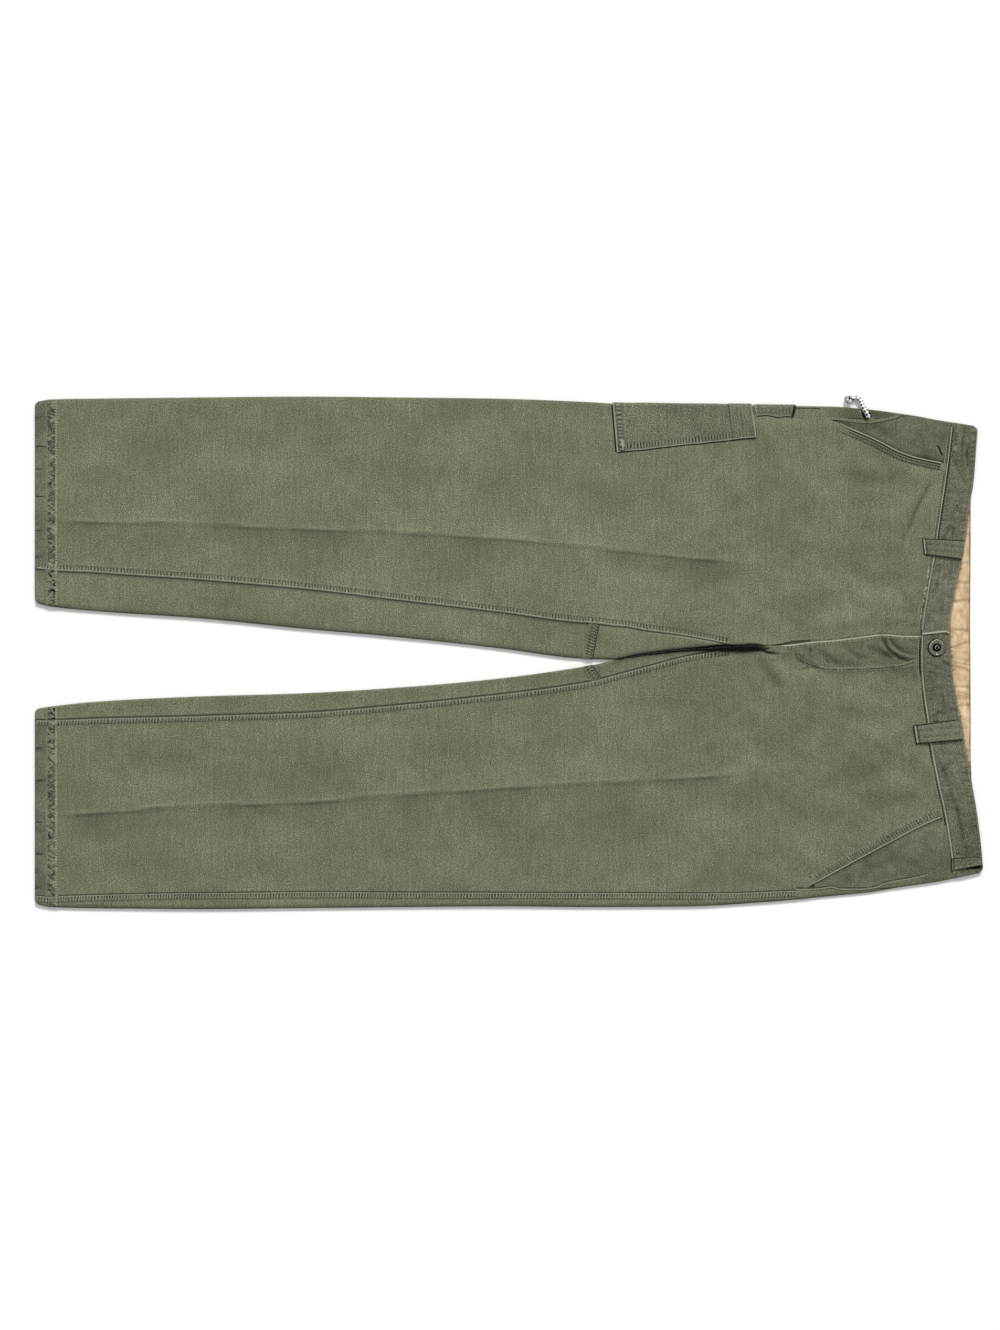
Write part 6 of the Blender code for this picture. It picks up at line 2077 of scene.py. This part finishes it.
def tabRim(s, w, width):
    height = 0.3 * ease(0.0, 0.6, np.minimum(w, width - w))
    return height, 1.15 * bell(w, 1.0, 0.8, 4), 1.1 * bell(w, 2.7, 0.6)


def onTab(past, inside, above):
    return onBand("left", past / bandDepth, tabEdge(past / bandDepth) + inside, above)


raiseSeam("tab_edge", "waistband_front_left", line, -0.2, -4.2, tabRim, onTab, 0.8, 8, canvasBand)

# cargo and tool pocket rows
leg = legs["right"]
for name, insides, ends in (("cargo", (1.8, 7.4), (2.0, 9.5)), ("tool", (2.2,), ())):
    patch = patches[name]
    length = patch["high"][0] - patch["low"][0]
    share = np.linspace(0.015, 0.985, 400)
    over = wall["gap"] + wall["cloth"]
    for inside in insides:
        out = patchEdge(patch, share) + inside
        addRow("olive", onLeg(leg, patchAlong(patch, share, out), out, over + 0.02))
    out = np.linspace(patch["low"][2] + 2, readTable(leg, "outer", np.array(680.0)) - 2, 120)
    for end in ends:
        addRow("olive", onLeg(leg, patchAlong(patch, end / length, out), out, over + 0.08))
    if name == "cargo":
        out = np.linspace(patch["high"][2] + 2, readTable(leg, "outer", np.array(830.0)) - 2, 90)
        for end in (2.0, 22.0):
            addRow("olive", onLeg(leg, patchAlong(patch, 1 - end / length, out), out, wall["gap"] + 1.96))

# belt loop rows and bars
for name, loop in loops.items():
    share = np.linspace(0.07, 0.93, 70)
    for part in (0.11, 0.89):
        along, across = loopPlace(loop, share, np.full_like(share, part))
        up = readTable(loop["arch"], "up", share) + loopUp(share, part + 0 * share) + 0.05
        addRow("olive", (along, across, up))
    if name != "loop_side":
        zig = np.linspace(0.04, 0.96, 30)
        share = 0.035 + 0.016 * (np.arange(30) % 2 * 2 - 1)
        along, across = loopPlace(loop, share, zig)
        up = readTable(loop["arch"], "up", share) + loopUp(share, zig) + 0.12
        addRow("pale", (along, across, up), True)

# right side seam between the tool pocket and the pocket's foot
sideRow = [(881.0, 275.0), (902.0, 273.6), (930.0, 272.0), (967.0, 268.4), (988.0, 271.4), (1004.0, 275.4)]


def pipedRow(pale, dark, fades):
    # a soft fold with stitches on one side of it and a painted shadow line on the other
    def looks(s, w, width):
        middle = np.abs(w - width / 2)
        height = 0.16 * np.sqrt(np.clip(1 - (middle / (width / 2)) ** 2, 0, 1))
        faint = (1 - fades * ease(40.0, 62.0, s)) * (0.8 + 0.3 * rumple(s / 5.0, w / 4.0, 95))
        dots = 0.6 + 0.4 * np.cos(2 * math.pi * s / stitch["pitch"])
        return height, pale * dots * faint * bell(w, 1.3, 0.7), dark * faint * bell(w, 2.7, 0.75)
    return looks


raiseSeam("right_side_row", "front_right", sideRow, -1.8, 1.8, pipedRow(0.3, 0.7, 0.7), onTop)
sewAlong("pale", sideRow, 0.3, onTop, 0.36, 0.0, 60.0)
leftRow = [(884.0, 273.6), (896.0, 273.8), (912.0, 272.8), (926.0, 271.2), (935.0, 273.6), (959.0, 273.6),
           (976.0, 271.4), (989.0, 266.2), (1014.0, 261.8), (1037.0, 256.8)]


def placeLeft(along, out, above):
    # on the panel or the pocket's facing, whichever is higher
    panel = onLeg(legs["left"], along, out, above, None)
    facing = onLeg(legs["left"], along, out, above, None, facingLift("left"))
    return tuple(np.where(facing[2] > panel[2], b, a) for a, b in zip(panel, facing))


raiseSeam("left_side_row", "back_left", leftRow, 1.9, -1.9, pipedRow(0.75, 1.5, 0.1), placeLeft)
foldRow = [(882.0, 284.2), (896.0, 283.9), (912.0, 283.6)]
raiseSeam("right_side_fold", "front_right", foldRow, -0.8, 0.8, gapLook(1.2), onTop, 0.9, 5)
slitLine = [(959.6, 284.0), (962.8, 279.8), (966.4, 275.0), (968.4, 272.0), (969.6, 269.2)]


def slitLook(s, w, width):
    # painted shadow in the opening round the end of the cord
    half = 1.2 + 3.6 * ease(0.0, 9.0, s)
    gone = 1 - ease(13.5, 16.0, s)
    return 0.1 + 0 * w, 0 * w, 2.0 * gone * bell(w, 0.5 * width, half, 6)


raiseSeam("cord_slit", "front_right", slitLine, -5.5, 5.5, slitLook, onTop, 0.8, 14)


# stitches
bpy.ops.mesh.primitive_uv_sphere_add(segments=5, ring_count=3, radius=0.5)
bpy.ops.object.mode_set(mode="EDIT")
bpy.ops.mesh.select_all(action="SELECT")
bpy.ops.transform.rotate(value=math.pi / 2, orient_axis="Y", center_override=(0, 0, 0))
bpy.ops.object.mode_set(mode="OBJECT")
template = bpy.context.object
stitchPoints = np.array([list(vert.co) for vert in template.data.vertices])
stitchFaces = [list(face.vertices) for face in template.data.polygons]
bpy.data.objects.remove(template)


def tileStitches(name, rows, material, shuffle):
    middles, ways = [], []
    for row in rows:
        if isinstance(row, tuple):
            points = row[1]
            middles.append((points[1:] + points[:-1]) / 2)
            ways.append((points[1:] - points[:-1]) / (stitch["length"] * mm))
            continue
        reach = lengthsAlong(row)
        count = int(reach[-1] / (stitch["pitch"] * mm))
        at = (np.arange(count) + 0.5) * reach[-1] / max(count, 1)
        ways.append(unit(spotsAt(at + mm, reach, row) - spotsAt(at - mm, reach, row)))
        middles.append(spotsAt(at, reach, row))
    middle, way = np.concatenate(middles), np.concatenate(ways)
    flat = unit(np.cross(np.tile([0.0, 0.0, 1.0], (len(way), 1)), way))
    way += flat * shuffle.normal(0, 0.05, len(way))[:, None]
    rise = unit(np.cross(way, flat))
    long = stitch["length"] * shuffle.uniform(0.85, 1.1, len(way)) * mm
    thick = 2 * stitch["radius"] * mm
    base = stitchPoints
    points = (middle[:, None] + base[None, :, 0:1] * (way * long[:, None])[:, None]
              + base[None, :, 1:2] * thick * flat[:, None] + base[None, :, 2:3] * thick * rise[:, None])
    faces = [np.array([[vert + k * len(base) for vert in face] for k in range(len(middle))])
             for face in stitchFaces]
    piece = keepMesh(name, points.reshape(-1, 3), faces, material)
    print(name, len(middle), "stitches")
    return piece


stitchDice = np.random.default_rng(5)
for group, material in (("olive", threadOlive), ("pale", threadPale), ("tan", threadTan)):
    node = "waistband_facing" if group == "tan" else "front_right"
    tileStitches(group + "_stitches", stitchRows[group], material, stitchDice)


# button
def gunmetalMaterial(name, dark, pale, metallic, shine=0.5):
    material, nodes, links, shader = newMaterial(name)
    noise = objectNoise(nodes, links, 500.0, 4.0)
    links.new(mixed(nodes, links, noise, dark, pale), shader.inputs["Base Color"])
    rough = nodes.new("ShaderNodeMapRange")
    rough.inputs["To Min"].default_value = 0.3
    rough.inputs["To Max"].default_value = 0.55
    links.new(noise, rough.inputs["Value"])
    links.new(rough.outputs["Result"], shader.inputs["Roughness"])
    shader.inputs["Metallic"].default_value = metallic
    shader.inputs["Specular IOR Level"].default_value = shine
    return material


buttonShape = {
    "radius": 10.4, "low": 7.3, "height": 0.7, "sides": 64,
    # each step: inset, then rise
    "steps": ((0.0, 0.5), (0.5, 0.2), (0.5, 0.45), (0.5, 0.3), (0.5, 0.1), (0.6, -0.25), (1.2, -0.1),
              (0.9, 0.1), (0.5, -0.15), (0.35, -0.9), (0.9, -0.1), (0.35, 0.8), (0.4, 0.25), (0.6, 0.05),
              (0.35, -0.45), (0.5, 0.0)),
    # places of painted shade in the grooves and under the rim, and of painted highlight on the rim: between
    # two radii and two directions in degrees
    "paintedShadow": ((0.0, 1.3, -60, 60), (2.2, 5.0, 110, 345), (3.3, 4.8, -15, 110), (9.2, 10.6, 95, 300),
              (9.7, 10.6, -60, 95)),
    "paintedHighlight": ((7.2, 8.5, 100, 178), (7.2, 8.5, 28, 62), (6.8, 8.5, 262, 276), (1.7, 2.3, 60, 200)),
    "offset": (-0.9, 0.8),
}
bpy.ops.mesh.primitive_cylinder_add(vertices=buttonShape["sides"], radius=buttonShape["radius"] * mm,
                                    depth=buttonShape["height"] * mm)
button = bpy.context.object
button.name = "ring_button"
bpy.ops.object.mode_set(mode="EDIT")
bpy.ops.mesh.select_all(action="SELECT")
shift = buttonShape["offset"]
middle = toWorld(buttonPlace["along"] + shift[0], buttonPlace["across"] + shift[1],
                 buttonShape["low"] + buttonShape["height"] / 2)
bpy.ops.transform.translate(value=tuple(middle))
bpy.ops.mesh.select_all(action="DESELECT")
bpy.ops.object.mode_set(mode="OBJECT")
highest = max(face.center.z for face in button.data.polygons)
for face in button.data.polygons:
    face.select = face.center.z > highest - 1e-6
bpy.ops.object.mode_set(mode="EDIT")
bpy.ops.mesh.select_mode(type="FACE")
for inset, rise in buttonShape["steps"]:
    if inset:
        bpy.ops.mesh.inset(thickness=inset * mm)
        bpy.ops.transform.translate(value=(0, 0, rise * mm))
    else:
        bpy.ops.mesh.extrude_region_move(TRANSFORM_OT_translate={"value": (0, 0, rise * mm)})
bpy.ops.object.mode_set(mode="OBJECT")
bpy.ops.object.shade_smooth_by_angle(angle=math.radians(50))
# the button's own gunmetal, a near-black copy for painted shade and a pale copy for painted highlights
for tones in (("gunmetal", (0.06, 0.061, 0.045), (0.19, 0.19, 0.145), 0.3),
              ("paintedShadeMetal", (0.001, 0.001, 0.001), (0.006, 0.006, 0.005), 0.0, 0.04),
              ("paintedHighlight", (0.42, 0.42, 0.36), (0.62, 0.62, 0.55), 0.2)):
    button.data.materials.append(gunmetalMaterial(*tones))
for face in button.data.polygons:
    aside = face.center.x - middle[0], face.center.y - middle[1]
    away, way = math.hypot(*aside) / mm, math.degrees(math.atan2(aside[1], aside[0]))
    for number, key in ((1, "paintedShadow"), (2, "paintedHighlight")):
        for low, high, first, last in buttonShape[key]:
            if low <= away <= high and (first <= way <= last or first <= way + 360 <= last):
                face.material_index = number
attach(button, "root")
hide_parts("button")
print("button turned")


# pull cord
cord = {
    "route": [(967.6, 273.4, 5.4), (966.8, 275.4, 7.0), (965.4, 278.0, 7.6), (963.6, 280.8, 7.5),
              (961.8, 284.2, 6.7), (960.2, 288.0, 5.3), (958.6, 292.0, 4.0), (956.0, 295.2, 3.2),
              (952.8, 296.2, 2.9), (949.6, 294.9, 2.9)],
    "diameter": 5.2, "sides": 28, "step": 0.42,
    "knot": (945.0, 294.4, 4.0), "knotSize": (4.9, 4.5, 3.3), "knotBend": 1.5, "knotRadius": 1.95,
    "knotRings": 110, "knotSides": 14,
    "tip": [(944.6, 294.8, 3.6), (942.4, 295.0, 3.3), (940.4, 295.2, 3.0)], "tipRadius": 2.2,
    "tipStep": 0.5, "tipSides": 12,
}


def cordMaterial():
    material, nodes, links, shader = newMaterial("fleckedCord")
    value = nodes.new("ShaderNodeAttribute")
    value.attribute_name = "fleck"
    yarn = mixed(nodes, links, value.outputs["Fac"], (0.93, 0.93, 0.91), (0.012, 0.012, 0.014))
    yarnTint = nodes.new("ShaderNodeMix")
    yarnTint.data_type, yarnTint.blend_type = "RGBA", "MULTIPLY"
    yarnTint.inputs[0].default_value = 0.18
    links.new(yarn, yarnTint.inputs[6])
    links.new(objectNoise(nodes, links, 1500.0), yarnTint.inputs[7])
    links.new(yarnTint.outputs[2], shader.inputs["Base Color"])
    shader.inputs["Roughness"].default_value = 0.85
    return material


flecked = cordMaterial()


def smoothRoute(points, step):
    points = np.array(points, float)
    padded = np.vstack([points[0], points, points[-1]])
    fine = []
    for i in range(len(points) - 1):
        p, q, r, s = padded[i: i + 4]
        for t in np.arange(0, 1, 0.05):
            fine.append(0.5 * (2 * q + (r - p) * t + (2 * p - 5 * q + 4 * r - s) * t**2
                               + (3 * q - p - 3 * r + s) * t**3))
    fine = np.vstack([fine, points[-1]])
    reach = lengthsAlong(fine)
    at = np.linspace(0, reach[-1], int(round(reach[-1] / step)) + 1)
    return at, spotsAt(at, reach, fine)


def tube(name, at, middle, radii, sides, fleckOf, material, closed=False):
    # a tube of mesh round a line, with a braided surface
    way = unit(np.roll(middle, -1, 0) - np.roll(middle, 1, 0) if closed else np.gradient(middle, axis=0))
    side = unit(np.cross(way, [0.0, 0.0, 1.0]))
    rise = np.cross(side, way)
    turn = np.linspace(0, 2 * math.pi, sides, endpoint=False)
    s, a = np.meshgrid(at, turn, indexing="ij")
    braid = 0.10 * np.maximum(np.sin(5 * a + 1.7 * s), np.sin(5 * a - 1.7 * s + 1.0))
    radius = radii[:, None] * (0.97 + braid * 0.5)
    points = middle[:, None] + radius[..., None] * (np.cos(a)[..., None] * side[:, None]
                                                    + np.sin(a)[..., None] * rise[:, None])
    count = len(at)
    rows = count if closed else count - 1
    i, j = np.meshgrid(np.arange(rows), np.arange(sides), indexing="ij")
    k, nextI = (j + 1) % sides, (i + 1) % count
    quads = np.stack([i * sides + j, nextI * sides + j, nextI * sides + k, i * sides + k], -1)
    flat = points.reshape(-1, 3)
    faces = [quads.reshape(-1, 4)]
    values = fleckOf(s, a).ravel()
    if not closed:
        flat = np.vstack([flat, middle[0], middle[-1]])
        values = np.append(values, (values[0], values[-1]))
        ring = np.arange(sides)
        faces.append(np.stack([np.full(sides, count * sides), ring, (ring + 1) % sides], -1))
        last = (count - 1) * sides + ring
        faces.append(np.stack([np.full(sides, count * sides + 1), (count - 1) * sides + (ring + 1) % sides,
                               last], -1))
    return keepMesh(name, toWorld(*flat.T), faces, material, {"fleck": values}, None, 80)


def flecks(s, a, fewer=0.06):
    # short dark yarns in a slanted pattern
    first = np.sin(2 * a + 0.78 * s) * np.sin(2 * a - 0.78 * s + 0.8)
    return np.clip((first - fewer) * 12, 0, 1)


at, middle = smoothRoute(cord["route"], cord["step"])
radii = np.full(len(at), cord["diameter"] / 2)
cordPiece = tube("cord", at, middle, radii, cord["sides"], flecks, flecked)
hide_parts("pull_cord")
turn = np.linspace(0, 2 * math.pi, cord["knotRings"], endpoint=False)
size = np.array(cord["knotSize"]) - cord["knotBend"]
knotLine = np.stack([
    cord["knot"][0] + (np.sin(turn) + 2 * np.sin(2 * turn)) / 3.0 * size[0],
    cord["knot"][1] + (np.cos(turn) - 2 * np.cos(2 * turn)) / 3.0 * size[1],
    cord["knot"][2] - np.sin(3 * turn) * size[2] * 0.8], axis=-1)
radii = np.full(cord["knotRings"], cord["knotRadius"])
knotPiece = tube("cord_end", lengthsAlong(knotLine), knotLine, radii, cord["knotSides"],
                 lambda s, a: flecks(s, a, -0.1), flecked, True)
tipAt, tipLine = smoothRoute(cord["tip"], cord["tipStep"])
radii = cord["tipRadius"] * np.sqrt(np.clip((tipAt[-1] + 0.05 - tipAt) / 1.2, 0.03, 1))
tipPiece = tube("cord_tip", tipAt, tipLine, radii, cord["tipSides"],
                lambda s, a: 1 + 0 * s, flecked)
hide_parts("cord_knot")
print("cord laid, length", at[-1])


# the raised seams, grouped by the part they lie on
beside = {}
for node, piece in seams:
    beside.setdefault(node, []).append(piece)


# floor and light
bpy.ops.mesh.primitive_plane_add(size=9.0, location=(0, 0, 0))
floor = bpy.context.object
floor.name = "floor"
material, nodes, links, shader = newMaterial("paleFloor")
shader.inputs["Base Color"].default_value = (0.98, 0.98, 0.98, 1)
shader.inputs["Roughness"].default_value = 0.9
shader.inputs["Specular IOR Level"].default_value = 0.1
floor.data.materials.append(material)

world = bpy.data.worlds.new("studio")
bpy.context.scene.world = world
world.use_nodes = True
sky = world.node_tree.nodes["Background"].inputs
sky["Color"].default_value = (1, 1, 1, 1)
sky["Strength"].default_value = 0.55
lamp = bpy.data.lights.new("key", "SUN")
lamp.energy = 2.65
lamp.angle = math.radians(14)
lampObject = bpy.data.objects.new("key", lamp)
bpy.context.collection.objects.link(lampObject)
lampObject.rotation_euler = Vector((-0.12, -0.85, -0.66)).to_track_quat("-Z", "Y").to_euler()
print("floor and light set")
